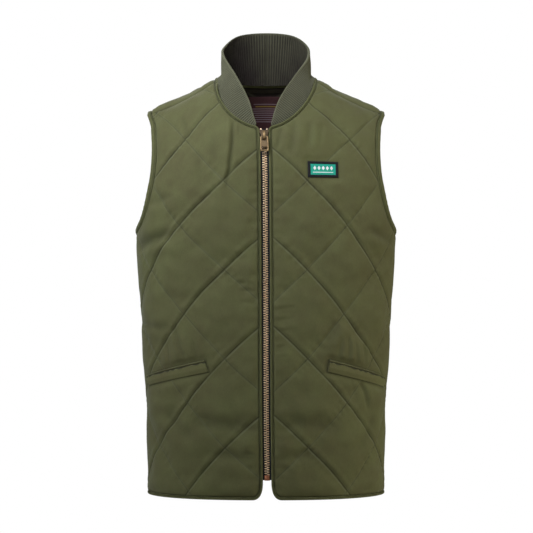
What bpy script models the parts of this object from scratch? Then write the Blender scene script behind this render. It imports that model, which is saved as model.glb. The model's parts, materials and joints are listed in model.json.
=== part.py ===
"""A quilted gilet, filled out as on a wearer: two fronts and a back cut flat and laid on a torso form,
a rib-knit collar, stitched bands on every edge, slanted pocket welts and a metal front zip.

Frame: metres, Z up, the front faces -Y, +X is the wearer's left. The origin is the middle of the neck
base, level with the points where the collar meets the shoulders.

A panel is cut flat first. Its pattern coordinates are s, the distance round the body from the middle
line, and w, the height, which runs on over the shoulder as length along the cloth. form() lays such a
point on the torso. The inside of a wall is the plain form and its outside is raised by the quilting.
"""
import math

import bmesh
import bpy
import numpy as np
from mathutils import Matrix, Vector, geometry

OBJECT_NAME = "gilet"
FRONT = -1
BACK = 1
RIGHT = -1
LEFT = 1

# Body form: a row for each level, with the half width and the depth in front of and behind the side seam
LEVEL = np.array([-0.700, -0.630, -0.565, -0.445, -0.340, -0.250, -0.150, -0.060, 0.080])
HALF_WIDTH = np.array([0.1938, 0.1910, 0.1922, 0.1988, 0.2052, 0.2112, 0.2150, 0.2160, 0.2160])
FRONT_DEPTH = np.array([0.127, 0.129, 0.131, 0.134, 0.136, 0.137, 0.135, 0.132, 0.130])
BACK_DEPTH = np.array([0.116, 0.114, 0.111, 0.109, 0.113, 0.121, 0.123, 0.119, 0.115])
SECTION_POWER = 2.35
SECTION_RATIO = 0.63

# Shoulder ridge: height above the neck points at each distance from the middle
RIDGE_X = np.array([0.000, 0.045, 0.079, 0.110, 0.150, 0.196, 0.230])
RIDGE_Z = np.array([0.0235, 0.0165, 0.0010, -0.0180, -0.0385, -0.0545, -0.065])
SHOULDER_RUN = {FRONT: 0.210, BACK: 0.165}
SHOULDER_DEPTH = 0.130
SETTLE_STEPS = 6

# Edges
GAP = 0.0003
HEM = -0.6745
FRONT_EDGE = 0.0115
BAND = 0.0046
BAND_LIFT = 0.0036
NECK_HALF = 0.0835
NECK_FRONT_DROP = 0.0885
NECK_BACK_DROP = 0.0065
NECK_POWER = 1.85
TOP_CORNER = 0.0070
HEM_CORNER_WIDE = 0.0125
HEM_CORNER_TALL = 0.0270
HEM_CORNER_POWER = 2.6
HEM_BACK_RISE = 0.0100
NECK_POINT_FLAT = 0.60
NECK_POINT_REACH = 0.0200
SEAM_DROP = 0.0075
ARM_BAND = 0.0105
# Outer edge of the armhole, a row for each level: distance from the middle on the front and on the back
ARM_LEVEL = np.array([-0.0585, -0.080, -0.119, -0.157, -0.184, -0.2095, -0.2285, -0.2405])
ARM_FRONT = np.array([0.1930, 0.1868, 0.1840, 0.1857, 0.1905, 0.1960, 0.2018, 0.2082])
ARM_BACK = np.array([0.1935, 0.1885, 0.1862, 0.1880, 0.1925, 0.1975, 0.2028, 0.2086])
ARM_TIP = 0.1942
UNDERARM = -0.2455
EDGE_STEP = 0.0170
CURVE_STEP = 0.0105

# Quilting: half height of a diamond, the level of a crossing, and the distance round the body of each column
QUILT_TALL = 0.0708
QUILT_LEVEL = -0.171
QUILT_PARTS = 4
QUILT_COLUMN = np.arange(-4, 5)
QUILT = {
    "front_right": np.array([-0.2519, -0.1723, -0.0927, -0.0131, 0.0665, 0.1335, 0.1925, 0.2515, 0.3105]),
    "front_left": np.array([-0.2315, -0.1570, -0.0825, -0.0080, 0.0665, 0.1315, 0.1885, 0.2455, 0.3025]),
    "back": 0.0796 * QUILT_COLUMN,
}
CLOTH = 0.0024
PUFF = 0.0048
PUFF_POWER = 0.62
PRESSED = 0.0006
EDGE_FADE = 0.0220
POINT_CLEAR = 0.0055

# Pieces laid on a panel: corners as distance from the middle and level
WELT_RIGHT = ((0.0960, -0.4560), (0.1900, -0.4850), (0.1895, -0.5020), (0.0900, -0.4755))
WELT_LEFT = ((0.1000, -0.4555), (0.1895, -0.4870), (0.1885, -0.5045), (0.0965, -0.4755))
WELT_LIFT = 0.0028
PATCH_MIDDLE = (0.0910, -0.1540)
PATCH_SIZE = (0.0480, 0.0255)
PATCH_LIFT = 0.0012
LABEL_LEVELS = (-0.0210, -0.0760)
LABEL_HALF = 0.0320
LABEL_LIFT = 0.0008
NECK_TAPE_EDGES = (0.0030, 0.0105)
NECK_TAPE_HALF = 0.0620

# Collar: a row for each share of the way from the front end to the middle of the back
RIM_SHARE = np.array([0.00, 0.15, 0.38, 0.57, 0.71, 0.86, 1.00, 1.14])
RIM_X = np.array([0.0115, 0.0225, 0.0485, 0.0710, 0.0710, 0.0460, 0.0000, -0.0460])
RIM_Y = np.array([-0.1125, -0.0960, -0.0520, -0.0080, 0.0270, 0.0550, 0.0620, 0.0550])
RIM_Z = np.array([-0.0790, -0.0430, 0.0050, 0.0390, 0.0575, 0.0785, 0.0840, 0.0785])
COLLAR_RIBS = 76
COLLAR_WALL = 0.0036
COLLAR_RIB = 0.0009
COLLAR_BULGE = 0.0010
COLLAR_WAIST = 0.0048
COLLAR_WAIST_AT = 0.57
COLLAR_WAIST_WIDE = 0.17
COLLAR_FLARE = 0.22
COLLAR_ROWS = (0.0, 0.34, 0.68, 1.0)
COLLAR_TURN = 0.60

# How far the middle of the closed front hangs aside, by level
LEAN_LEVEL = np.array([-0.700, -0.644, -0.5675, -0.400, -0.226, -0.150, -0.107, -0.060, -0.020, 0.020, 0.060])
LEAN_ASIDE = np.array([0.0022, 0.0018, 0.0008, 0.0, -0.0009, -0.0016, -0.0027, -0.0040, -0.0025, -0.0006, 0.0])
LEAN_WIDE = 0.160
LEAN_FADE = 0.100
LEAN_START = 0.020
LEAN_DEEP = 0.060

# Zip
TAPE_INNER = 0.0045
TAPE_OUTER = 0.0165
TAPE_THICK = 0.0010
TAPE_BEHIND = 0.0007
CHAIN_HALF = 0.0040
CHAIN_FRONT = 0.0018
CHAIN_BACK = 0.0026
ZIP_TOP = -0.0875
ZIP_END = -0.6395
STOP_END = -0.6480
ZIP_STEP = 0.0150
HINGE_LEVEL = -0.1037
CHAIN_IN = 0.0045
SLIDER_CLEAR = 0.0005
STOP_UP = 0.0152
STOP_ASIDE = 0.0050
STOP_TALL = 0.0030
PULL_LIFT = 0.0078
PULL_HALF = 0.0066
PULL_LENGTH = 0.0250
PULL_THICK = 0.0016

OLIVE = (0.128, 0.124, 0.076, 1.0)
DARK_OLIVE = (0.098, 0.095, 0.058, 1.0)
RIB_OLIVE = (0.105, 0.102, 0.066, 1.0)
BLACK = (0.012, 0.013, 0.015, 1.0)
BRASS = (0.40, 0.27, 0.12, 1.0)
TEAL = (0.030, 0.120, 0.130, 1.0)
MAROON = (0.070, 0.028, 0.026, 1.0)


def smooth(at, xs, ys):
    """Cubic curve through the rows (xs, ys), read at each value of at, and held level past both ends."""
    slopes = np.gradient(ys, xs)
    low = np.clip(np.searchsorted(xs, at) - 1, 0, len(xs) - 2)
    span = xs[low + 1] - xs[low]
    t = np.clip((at - xs[low]) / span, 0.0, 1.0)
    start = (1 + 2 * t) * (1 - t) ** 2 * ys[low] + t * (1 - t) ** 2 * span * slopes[low]
    end = t * t * (3 - 2 * t) * ys[low + 1] + t * t * (t - 1) * span * slopes[low + 1]
    return start + end


# A quarter of the rounded section, by the distance round it for a half width of 1
TURN = np.linspace(0.0, math.pi / 2, 321)
QUARTER = len(TURN)
PAST_SIDE = np.linspace(0.0, 0.55 * math.pi, 353)
ROUND_X = np.sin(PAST_SIDE) ** (2 / SECTION_POWER)
ROUND_Y = np.sign(np.cos(PAST_SIDE)) * np.abs(np.cos(PAST_SIDE)) ** (2 / SECTION_POWER)
AROUND = np.concatenate([[0], np.cumsum(np.hypot(np.diff(ROUND_X), SECTION_RATIO * np.diff(ROUND_Y)))])
TO_SIDE = AROUND[QUARTER - 1]

# The shoulder's quarter oval from the ridge down, by the distance along it
FALL = {face: run * (1 - np.cos(TURN)) for face, run in SHOULDER_RUN.items()}
REACH = np.sin(TURN)
DOWN = {face: np.concatenate([[0], np.cumsum(np.hypot(np.diff(fall), SHOULDER_DEPTH * np.diff(REACH)))])
        for face, fall in FALL.items()}
EXTRA = {face: DOWN[face][-1] - SHOULDER_RUN[face] for face in DOWN}


def shoulder(face, below):
    """Fall below the ridge and share of the full depth, at a distance along the cloth below the ridge."""
    past = np.maximum(below - DOWN[face][-1], 0.0)
    return np.interp(below, DOWN[face], FALL[face]) + past, np.interp(below, DOWN[face], REACH)


def form(face, flat):
    """Lays pattern points (s, w) on the torso: round a rounded section at their level, and over the shoulder."""
    s = np.asarray(flat)[..., 0]
    w = np.asarray(flat)[..., 1]
    x = np.abs(s)
    for _ in range(SETTLE_STEPS):
        ridge = smooth(x, RIDGE_X, RIDGE_Z)
        below = ridge + EXTRA[face] - w
        fall, reach = shoulder(face, np.maximum(below, 0.0))
        fall_over, reach_over = shoulder(-face, np.maximum(-below, 0.0))
        z = ridge - np.where(below < 0, fall_over, fall)
        half = smooth(z, LEVEL, HALF_WIDTH)
        around = np.abs(s) / half
        x = half * np.interp(around, AROUND, ROUND_X)
    depth = {FRONT: smooth(z, LEVEL, FRONT_DEPTH), BACK: smooth(z, LEVEL, BACK_DEPTH)}
    y = np.where(below < 0, -face * reach_over * depth[-face], face * reach * depth[face])
    return np.stack([np.sign(s) * x, y * np.interp(around, AROUND, ROUND_Y), z], axis=-1)


def form_normal(face, flat, step=0.0008):
    """Outward direction of the form, from the slopes along s and w."""
    flat = np.asarray(flat, float)
    side = form(face, flat + [step, 0]) - form(face, flat - [step, 0])
    rise = form(face, flat + [0, step]) - form(face, flat - [0, step])
    out = np.cross(side, rise) * -face
    return out / np.linalg.norm(out, axis=-1, keepdims=True)


def lifted(face, flat, lift):
    return form(face, flat) + form_normal(face, flat) * np.asarray(lift)[..., None]


def lay_flat(face, x, z, over=False):
    """Pattern point of a place seen from the front or the back; over is for the far side of the ridge."""
    x = np.asarray(x, float)
    ridge = smooth(np.abs(x), RIDGE_X, RIDGE_Z)
    half = smooth(z, LEVEL, HALF_WIDTH)
    s = half * np.interp(np.abs(x) / half, ROUND_X[:QUARTER], AROUND[:QUARTER])
    fall = np.maximum(ridge - z, 0.0)
    near = -face if over else face
    along = np.interp(fall, FALL[near], DOWN[near]) + np.maximum(fall - SHOULDER_RUN[near], 0.0)
    w = ridge + EXTRA[face] + (along if over else -along)
    return np.stack([np.sign(x) * s, w], axis=-1)


def side_seam(z):
    return smooth(z, LEVEL, HALF_WIDTH) * TO_SIDE


def resample(points, step):
    """The same line with its points an even distance apart, near to step."""
    points = np.asarray(points, float)
    along = np.concatenate([[0], np.cumsum(np.linalg.norm(np.diff(points, axis=0), axis=1))])
    at = np.linspace(0, along[-1], max(2, int(round(along[-1] / step)) + 1))
    return np.stack([np.interp(at, along, points[:, k]) for k in range(points.shape[1])], axis=1)


def moved_left(line, distance):
    """The flat line moved to the left of its direction."""
    ahead = np.gradient(line, axis=0)
    ahead /= np.linalg.norm(ahead, axis=1, keepdims=True)
    return line + distance * np.stack([-ahead[:, 1], ahead[:, 0]], axis=1)


def neck_edge(face, turn):
    """The panels' neck edge: an oval seen from the front, from the ridge (0) to the middle (a right angle)."""
    drop = NECK_FRONT_DROP if face == FRONT else NECK_BACK_DROP
    ridge = smooth(np.array(NECK_HALF), RIDGE_X, RIDGE_Z)
    power = 2 / NECK_POWER
    return NECK_HALF * np.abs(np.cos(turn)) ** power, ridge - drop * np.sin(turn) ** power


def neck_seam_turn():
    """Where the front neck edge is as far below the ridge as the shoulder seam."""
    turn = np.linspace(0.0, 0.8, 400)
    x, z = neck_edge(FRONT, turn)
    fall = smooth(x, RIDGE_X, RIDGE_Z) - z
    return float(np.interp(SEAM_DROP, fall, turn))


def front_run():
    """Flat edge of a front from the side seam along the hem, round both corners and up to the shoulder seam."""
    quarter = np.linspace(0.0, math.pi / 2, 7)
    hem_middle = FRONT_EDGE + HEM_CORNER_WIDE
    hem = np.stack([np.linspace(side_seam(HEM), hem_middle, 40), np.full(40, HEM)], axis=1)
    power = 2 / HEM_CORNER_POWER
    corner = np.stack([hem_middle - HEM_CORNER_WIDE * np.sin(quarter) ** power,
                       HEM + HEM_CORNER_TALL * (1 - np.abs(np.cos(quarter)) ** power)], axis=1)
    start = math.acos(((FRONT_EDGE + TOP_CORNER) / NECK_HALF) ** (NECK_POWER / 2))
    turn = np.linspace(start, neck_seam_turn(), 60)
    neck_x, neck_z = neck_edge(FRONT, turn)
    neck = lay_flat(FRONT, neck_x, neck_z)
    neck[:, 0] += FRONT_EDGE + TOP_CORNER - neck[0, 0]
    top = neck[0, 1]
    edge_top = top - TOP_CORNER
    edge = np.stack([np.full(60, FRONT_EDGE), np.linspace(corner[-1, 1], edge_top, 60)], axis=1)
    fillet = np.stack([FRONT_EDGE + TOP_CORNER * (1 - np.cos(quarter)),
                       edge_top + TOP_CORNER * np.sin(quarter)], axis=1)
    return np.concatenate([resample(hem, EDGE_STEP), corner[1:], resample(edge, EDGE_STEP)[1:], fillet[1:],
                           resample(neck, CURVE_STEP)[1:]]), len(resample(neck, CURVE_STEP))


def back_hem(s):
    """Level of the back's hem, which rises a little to its middle."""
    return HEM + HEM_BACK_RISE * np.cos(math.pi / 2 * s / side_seam(HEM)) ** 2


def arm_edge(face):
    """Flat outer edge of the armhole from the shoulder to the side seam."""
    wide = ARM_FRONT if face == FRONT else ARM_BACK
    bottom = smooth(np.array(UNDERARM), LEVEL, HALF_WIDTH)
    skip = 1 if face == FRONT else 0
    levels = np.append(ARM_LEVEL[skip:], [UNDERARM + 0.0006, UNDERARM])
    wide = np.append(wide[skip:], [bottom - 0.0006, bottom])
    row = np.arange(len(levels), dtype=float)
    fine = np.linspace(0, len(levels) - 1, 160)
    line = lay_flat(face, smooth(fine, row, wide), smooth(fine, row, levels))
    line[-1, 0] = side_seam(UNDERARM)
    fall = np.linspace(SEAM_DROP, 0.0, 12)
    fall = fall[:1] if face == FRONT else fall
    tip = np.full(len(fall), ARM_TIP)
    start = lay_flat(face, tip, smooth(tip, RIDGE_X, RIDGE_Z) - fall, over=face == BACK)
    return resample(np.concatenate([start, line]), CURVE_STEP * 1.25)


def back_neck_run():
    """Flat neck edge of the back from the middle to the shoulder seam on the front."""
    turn = np.linspace(math.pi / 2, 0.0, 50)
    behind = lay_flat(BACK, *neck_edge(BACK, turn))
    turn = np.linspace(0.0, neck_seam_turn(), 20)[1:]
    over = lay_flat(BACK, *neck_edge(FRONT, turn), over=True)
    return resample(np.concatenate([behind, over]), CURVE_STEP)


def shoulder_line(face, first, last):
    """Flat shoulder seam between two pattern points, following the ridge."""
    s = np.linspace(first[0], last[0], max(3, int(abs(last[0] - first[0]) / EDGE_STEP) + 2))[1:-1]
    half = smooth(np.array(-0.03), LEVEL, HALF_WIDTH)
    x = half * np.interp(np.abs(s) / half, AROUND, ROUND_X)
    fall = float(np.interp(SEAM_DROP, FALL[FRONT], DOWN[FRONT]))
    w = smooth(x, RIDGE_X, RIDGE_Z) + EXTRA[face] + (fall if face == BACK else -fall)
    return np.stack([s, w - GAP], axis=1)


def front_outline():
    """Closed flat outline of a front: hem, front edge, neck, shoulder, armhole, side."""
    run, _ = front_run()
    run = run.copy()
    run[0, 0] -= GAP / 2
    arm = moved_left(arm_edge(FRONT), -(ARM_BAND + GAP))
    arm[:, 0] = np.minimum(arm[:, 0], side_seam(arm[:, 1]) - GAP / 2)
    run[-1, 1] -= GAP
    arm[0, 1] -= GAP
    top = shoulder_line(FRONT, run[-1], arm[0])
    levels = np.linspace(arm[-1, 1], HEM, int((arm[-1, 1] - HEM) / EDGE_STEP) + 1)[1:-1]
    side = np.stack([side_seam(levels) - GAP / 2, levels], axis=1)
    return np.concatenate([run, top, arm, side])


def back_outline():
    """Closed flat outline of the back, its left half mirrored."""
    neck = back_neck_run()
    arm = moved_left(arm_edge(BACK), -(ARM_BAND + GAP))
    arm[:, 0] = np.minimum(arm[:, 0], side_seam(arm[:, 1]) - GAP / 2)
    neck[-1, 1] -= GAP
    arm[0, 1] -= GAP
    top = shoulder_line(BACK, neck[-1], arm[0])
    levels = np.linspace(arm[-1, 1], HEM, int((arm[-1, 1] - HEM) / EDGE_STEP) + 1)[1:]
    side = np.stack([side_seam(levels) - GAP / 2, levels], axis=1)
    s = np.linspace(side[-1, 0], 0.0, int(side[-1, 0] / EDGE_STEP) + 1)[1:]
    hem = np.stack([s, back_hem(s)], axis=1)
    half = np.concatenate([neck, top, arm, side, hem])
    return np.concatenate([half, half[-2:0:-1] * [-1, 1]])


def distance_to(points, loop):
    """Distance from each flat point to a closed flat line."""
    start = loop[None]
    ahead = np.roll(loop, -1, axis=0)[None] - start
    t = ((points[:, None] - start) * ahead).sum(-1) / np.maximum((ahead ** 2).sum(-1), 1e-12)
    near = start + ahead * np.clip(t, 0, 1)[..., None]
    return np.linalg.norm(points[:, None] - near, axis=-1).min(axis=1)


def inside(points, loop):
    """Whether each flat point is inside a closed flat line, by the number of crossings to its right."""
    a = loop[None]
    b = np.roll(loop, -1, axis=0)[None]
    high = (a[..., 1] > points[:, None, 1]) != (b[..., 1] > points[:, None, 1])
    rise = np.where(b[..., 1] == a[..., 1], 1.0, b[..., 1] - a[..., 1])
    cross = a[..., 0] + (points[:, None, 1] - a[..., 1]) * (b[..., 0] - a[..., 0]) / rise
    return (high & (points[:, None, 0] < cross)).sum(axis=1) % 2 == 1


def quilt_place(flat, column):
    """Column and row of a pattern point, in half diagonals of a diamond from a crossing."""
    return np.interp(flat[:, 0], column, QUILT_COLUMN), (flat[:, 1] - QUILT_LEVEL) / QUILT_TALL


def cut(outline, column, pieces=()):
    """Triangles of a flat panel with edges along its outline, its quilting lines and the pieces laid on it."""
    parts = QUILT_PARTS
    place = np.stack(quilt_place(outline, column), axis=1)
    low = np.floor((place.min(axis=0) - 0.3) * parts).astype(int)
    high = np.ceil((place.max(axis=0) + 0.3) * parts).astype(int)
    i, j = np.meshgrid(np.arange(low[0], high[0] + 1), np.arange(low[1], high[1] + 1), indexing="ij")
    s = np.interp(i / parts, QUILT_COLUMN, column)
    grid = np.stack([s, QUILT_LEVEL + j * QUILT_TALL / parts], axis=-1).reshape(-1, 2)
    clear = np.minimum.reduce([distance_to(grid, line) for line in (outline, *pieces)]) > POINT_CLEAR
    clear = clear.reshape(i.shape)
    points = [Vector(p) for p in outline]
    loop = list(range(len(outline)))
    edges = []
    for piece in pieces:
        start = len(points)
        points += [Vector(p) for p in piece]
        edges += [(start + k, start + (k + 1) % len(piece)) for k in range(len(piece))]
    number = np.full(i.shape, -1)
    number[clear] = len(points) + np.arange(clear.sum())
    points += [Vector(p) for p in grid.reshape(*i.shape, 2)[clear]]
    for step in (1, -1):
        for corner in range(-i.shape[1], i.shape[0] + i.shape[1]):
            a = np.arange(i.shape[0])
            b = (a - corner) * step + (0 if step == 1 else i.shape[1] - 1)
            a = a[(b >= 0) & (b < i.shape[1])]
            b = b[(b >= 0) & (b < i.shape[1])]
            if not len(a) or (i[a[0], 0] - step * j[0, b[0]]) % (2 * parts):
                continue
            line = [n for n in number[a, b] if n >= 0]
            edges += list(zip(line[:-1], line[1:]))
    edges += list(zip(loop, loop[1:] + loop[:1]))
    verts, _, faces, _, _, _ = geometry.delaunay_2d_cdt(points, edges, [], 0, 1e-6)
    flat = np.array([tuple(v) for v in verts])
    faces = np.array(faces)
    faces = faces[inside(flat[faces].mean(axis=1), outline)]
    used, faces = np.unique(faces, return_inverse=True)
    return flat[used], faces.reshape(-1, 3)


def quilted(flat, outline, column, pieces=()):
    """Thickness of a quilted wall: domes between the diagonal lines, flattened at edges and under pieces."""
    p, q = quilt_place(flat, column)
    dome = np.abs(np.sin(math.pi * (p + q) / 2) * np.sin(math.pi * (p - q) / 2)) ** PUFF_POWER
    fade = np.clip(distance_to(flat, outline) / EDGE_FADE, 0, 1)
    thick = CLOTH + PUFF * dome * fade * (2 - fade)
    for piece in pieces:
        under = inside(flat, piece) | (distance_to(flat, piece) < 1e-4)
        thick = np.where(under, CLOTH + PRESSED, thick)
    return thick


def material(name, colour, roughness=0.9, metallic=0.0):
    made = bpy.data.materials.new(name)
    made.use_nodes = True
    shader = made.node_tree.nodes["Principled BSDF"]
    shader.inputs["Base Color"].default_value = colour
    shader.inputs["Roughness"].default_value = roughness
    shader.inputs["Metallic"].default_value = metallic
    made.diffuse_color = colour
    return made


def placed(name, mesh, colour, roughness=0.9, metallic=0.0):
    thing = bpy.data.objects.new(name, mesh)
    mesh.materials.append(material(name, colour, roughness, metallic))
    collection.objects.link(thing)
    return thing


def wall(name, inner, outer, faces, colour, roughness=0.9):
    """A closed wall: the inner surface extruded to the outer points."""
    mesh = bpy.data.meshes.new(name)
    mesh.from_pydata(inner.tolist(), [], faces.tolist())
    work = bmesh.new()
    work.from_mesh(mesh)
    number = work.verts.layers.int.new("number")
    for vert in work.verts:
        vert[number] = vert.index
    grown = bmesh.ops.extrude_face_region(work, geom=work.faces[:], use_keep_orig=True)["geom"]
    for vert in grown:
        if isinstance(vert, bmesh.types.BMVert):
            vert.co = outer[vert[number]]
    bmesh.ops.recalc_face_normals(work, faces=work.faces[:])
    work.to_mesh(mesh)
    work.free()
    return placed(name, mesh, colour, roughness)


def loft(name, rings, colour, closed=False, roughness=0.9, metallic=0.0):
    """A bar through rings of points, joined end to end or capped."""
    count, sides, _ = rings.shape
    k, m = np.meshgrid(np.arange(count if closed else count - 1), np.arange(sides), indexing="ij")
    near = k * sides
    far = (k + 1) % count * sides
    ahead = (m + 1) % sides
    faces = np.stack([near + m, near + ahead, far + ahead, far + m], axis=-1).reshape(-1, 4).tolist()
    if not closed:
        faces += [list(range(sides))[::-1], list(range((count - 1) * sides, count * sides))]
    mesh = bpy.data.meshes.new(name)
    mesh.from_pydata(rings.reshape(-1, 3).tolist(), [], faces)
    work = bmesh.new()
    work.from_mesh(mesh)
    bmesh.ops.recalc_face_normals(work, faces=work.faces[:])
    work.to_mesh(mesh)
    work.free()
    return placed(name, mesh, colour, roughness, metallic)


BAND_SECTION = ((0.0, 0.0), (0.0, 0.55), (0.28, 1.0), (0.75, 1.0), (1.0, 0.62), (1.0, 0.0))


def band_rings(panel_edge, free_edge, out, lift):
    """Rings of a stitched band between the edge by the panel and the free edge, rounded on its outside."""
    return np.stack([panel_edge + (free_edge - panel_edge) * across + out * lift * high
                     for across, high in BAND_SECTION], axis=1)


def neck_lift(run, both_ends):
    """Lift of a neck band, lower by the shoulder seam at its last end or at both."""
    along = np.concatenate([[0], np.cumsum(np.linalg.norm(np.diff(run, axis=0), axis=1))])
    away = np.minimum(along, along[-1] - along) if both_ends else along[-1] - along
    return BAND_LIFT * (1 - NECK_POINT_FLAT * np.exp(-(away / NECK_POINT_REACH) ** 2))[:, None]


def trimmed(rings):
    """The rings with both ends drawn in a little, clear of the next band."""
    rings = rings.copy()
    for end, near in ((0, 1), (-1, -2)):
        ahead = rings[near].mean(axis=0) - rings[end].mean(axis=0)
        rings[end] += ahead / np.linalg.norm(ahead) * GAP
    return rings


def mirrored(points, hand):
    return points * [hand, 1, 1]


def make_fronts():
    outline = front_outline()
    for hand, name, welt in ((RIGHT, "front_right", WELT_RIGHT), (LEFT, "front_left", WELT_LEFT)):
        side = name.split("_")[1]
        corners = np.array(welt)
        flat_corners = lay_flat(FRONT, corners[:, 0], corners[:, 1])
        edges = [resample(np.array([a, b]), EDGE_STEP)[:-1]
                 for a, b in zip(flat_corners, np.roll(flat_corners, -1, axis=0))]
        pieces = [np.concatenate(edges)]
        if hand == LEFT:
            middle = lay_flat(FRONT, *PATCH_MIDDLE)
            reach = np.array(PATCH_SIZE) / 2
            pieces.append(middle + reach * np.array([(-1, 1), (0, 1), (1, 1), (1, -1), (0, -1), (-1, -1)]))
        flat, faces = cut(outline, QUILT[name], pieces)
        thick = quilted(flat, outline, QUILT[name], pieces)
        base = mirrored(form(FRONT, flat), hand)
        out = mirrored(form_normal(FRONT, flat), hand)
        wall(name, base, base + out * thick[:, None], faces, OLIVE)
        laid = (("pocket_welt_" + side, WELT_LIFT, DARK_OLIVE), ("chest_patch", PATCH_LIFT, TEAL))
        for piece, (piece_name, lift, colour) in zip(pieces, laid):
            lay_on(piece_name, flat, faces, piece, base + out * (thick + GAP)[:, None], out * lift, colour)


def lay_on(name, flat, faces, piece, start, rise, colour):
    """A piece made of the panel's own faces inside its outline, moved out."""
    here = faces[inside(flat[faces].mean(axis=1), piece)]
    used, here = np.unique(here, return_inverse=True)
    wall(name, start[used], start[used] + rise[used], here.reshape(-1, 3), colour)


def make_back():
    outline = back_outline()
    high, low = LABEL_LEVELS
    label_w = lay_flat(BACK, np.zeros(2), np.array([high, low]))[:, 1]
    label = np.array([(-LABEL_HALF, label_w[0]), (0, label_w[0]), (LABEL_HALF, label_w[0]),
                      (LABEL_HALF, label_w.mean()), (LABEL_HALF, label_w[1]), (0, label_w[1]),
                      (-LABEL_HALF, label_w[1]), (-LABEL_HALF, label_w.mean())])
    half = back_neck_run()
    run = np.concatenate([half[:0:-1] * [-1, 1], half])
    run = run[np.abs(run[:, 0]) < NECK_TAPE_HALF]
    tape = np.concatenate([moved_left(run, -NECK_TAPE_EDGES[0]), moved_left(run, -NECK_TAPE_EDGES[1])[::-1]])
    pieces = (label, tape)
    flat, faces = cut(outline, QUILT["back"], pieces)
    thick = quilted(flat, outline, QUILT["back"])
    base = form(BACK, flat)
    out = form_normal(BACK, flat)
    wall("back", base, base + out * thick[:, None], faces, OLIVE)
    lay_on("neck_label", flat, faces, label, base - out * GAP, -out * LABEL_LIFT, MAROON)
    lay_on("neck_tape", flat, faces, tape, base - out * GAP, -out * LABEL_LIFT, RIB_OLIVE)


def make_bands():
    run, neck_count = front_run()
    panel_edge = moved_left(run, GAP)
    free_edge = moved_left(run, GAP + BAND)
    out = form_normal(FRONT, run)
    for hand, name in ((RIGHT, "front_band_right"), (LEFT, "front_band_left")):
        rings = band_rings(form(FRONT, panel_edge), form(FRONT, free_edge), out, neck_lift(run, False))
        loft(name, mirrored(trimmed(rings), hand), DARK_OLIVE)
    half = back_neck_run()
    back_run = np.concatenate([half[:0:-1] * [-1, 1], half])
    rings = band_rings(form(BACK, moved_left(back_run, GAP)), form(BACK, moved_left(back_run, GAP + BAND)),
                       form_normal(BACK, back_run), neck_lift(back_run, True))
    loft("neck_band_back", trimmed(rings), DARK_OLIVE)
    wide = side_seam(HEM)
    s = np.linspace(wide, -wide, 81)
    hem = resample(np.stack([s, back_hem(s)], axis=1), EDGE_STEP)
    rings = band_rings(form(BACK, moved_left(hem, GAP)), form(BACK, moved_left(hem, GAP + BAND)),
                       form_normal(BACK, hem), BAND_LIFT)
    loft("hem_band_back", trimmed(rings), DARK_OLIVE)
    make_arm_bands()
    make_collar(run[-neck_count - 2:], half)


def make_arm_bands():
    rings = []
    for face in (FRONT, BACK):
        edge = arm_edge(face)
        inner = moved_left(edge, -ARM_BAND)
        inner[:, 0] = np.minimum(inner[:, 0], side_seam(inner[:, 1]))
        rings.append(band_rings(form(face, inner), form(face, edge), form_normal(face, edge), BAND_LIFT))
    joined = np.concatenate([rings[0][:-1], rings[1][:0:-1]])
    for hand, name in ((RIGHT, "armhole_band_right"), (LEFT, "armhole_band_left")):
        loft(name, mirrored(joined, hand), DARK_OLIVE, closed=True)


def make_collar(front_neck, back_neck):
    """Collar wall from the neck seam to its rim; the outer points step in and out at each rib."""
    away = 2 * GAP + BAND
    front = form(FRONT, moved_left(front_neck, away)[1:])
    behind = form(BACK, moved_left(back_neck, away))
    half = np.concatenate([front, behind[::-1][1:]])
    seam = resample(half, 0.0002)
    count = COLLAR_RIBS + 1
    pick = np.linspace(0, len(seam) - 1, count).astype(int)
    seam = seam[pick]
    share = np.linspace(0, 1, count)
    rim = np.stack([smooth(share, RIM_SHARE, column) for column in (RIM_X, RIM_Y, RIM_Z)], axis=1)
    seam = np.concatenate([seam, seam[-2::-1] * [-1, 1, 1]])
    rim = np.concatenate([rim, rim[-2::-1] * [-1, 1, 1]])
    out = np.cross(np.gradient(seam, axis=0), rim - seam)
    out /= np.linalg.norm(out, axis=1, keepdims=True)
    out *= np.sign((out * (seam - [0, -0.02, 0])).sum(axis=1))[:, None]
    waist = COLLAR_WAIST * np.exp(-((share - COLLAR_WAIST_AT) / COLLAR_WAIST_WIDE) ** 2)
    waist = np.concatenate([waist, waist[-2::-1]])
    crest = np.where(np.arange(len(seam)) % 2 == 0, 0.0, 1.0)
    outer = []
    inner = []
    for v in COLLAR_ROWS:
        flare = min(1.0, v / COLLAR_FLARE)
        drawn = waist * (1 - v) * flare * flare * (3 - 2 * flare)
        middle = seam + (rim - seam) * v + out * (COLLAR_BULGE * 4 * v * (1 - v) - GAP - drawn)[:, None]
        turn = COLLAR_TURN * COLLAR_WALL / 2 if v == 1.0 else 0.0
        outer.append(middle - out * (COLLAR_RIB * (1 - crest) + turn)[:, None])
        inner.append(middle - out * (COLLAR_WALL - turn))
    rows = len(COLLAR_ROWS)
    length = len(seam)
    k, m = np.meshgrid(np.arange(rows - 1), np.arange(length - 1), indexing="ij")
    first = k * length + m
    faces = np.stack([first, first + 1, first + length + 1, first + length], axis=-1).reshape(-1, 4)
    wall("collar", np.concatenate(inner), np.concatenate(outer), faces, RIB_OLIVE)


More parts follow.
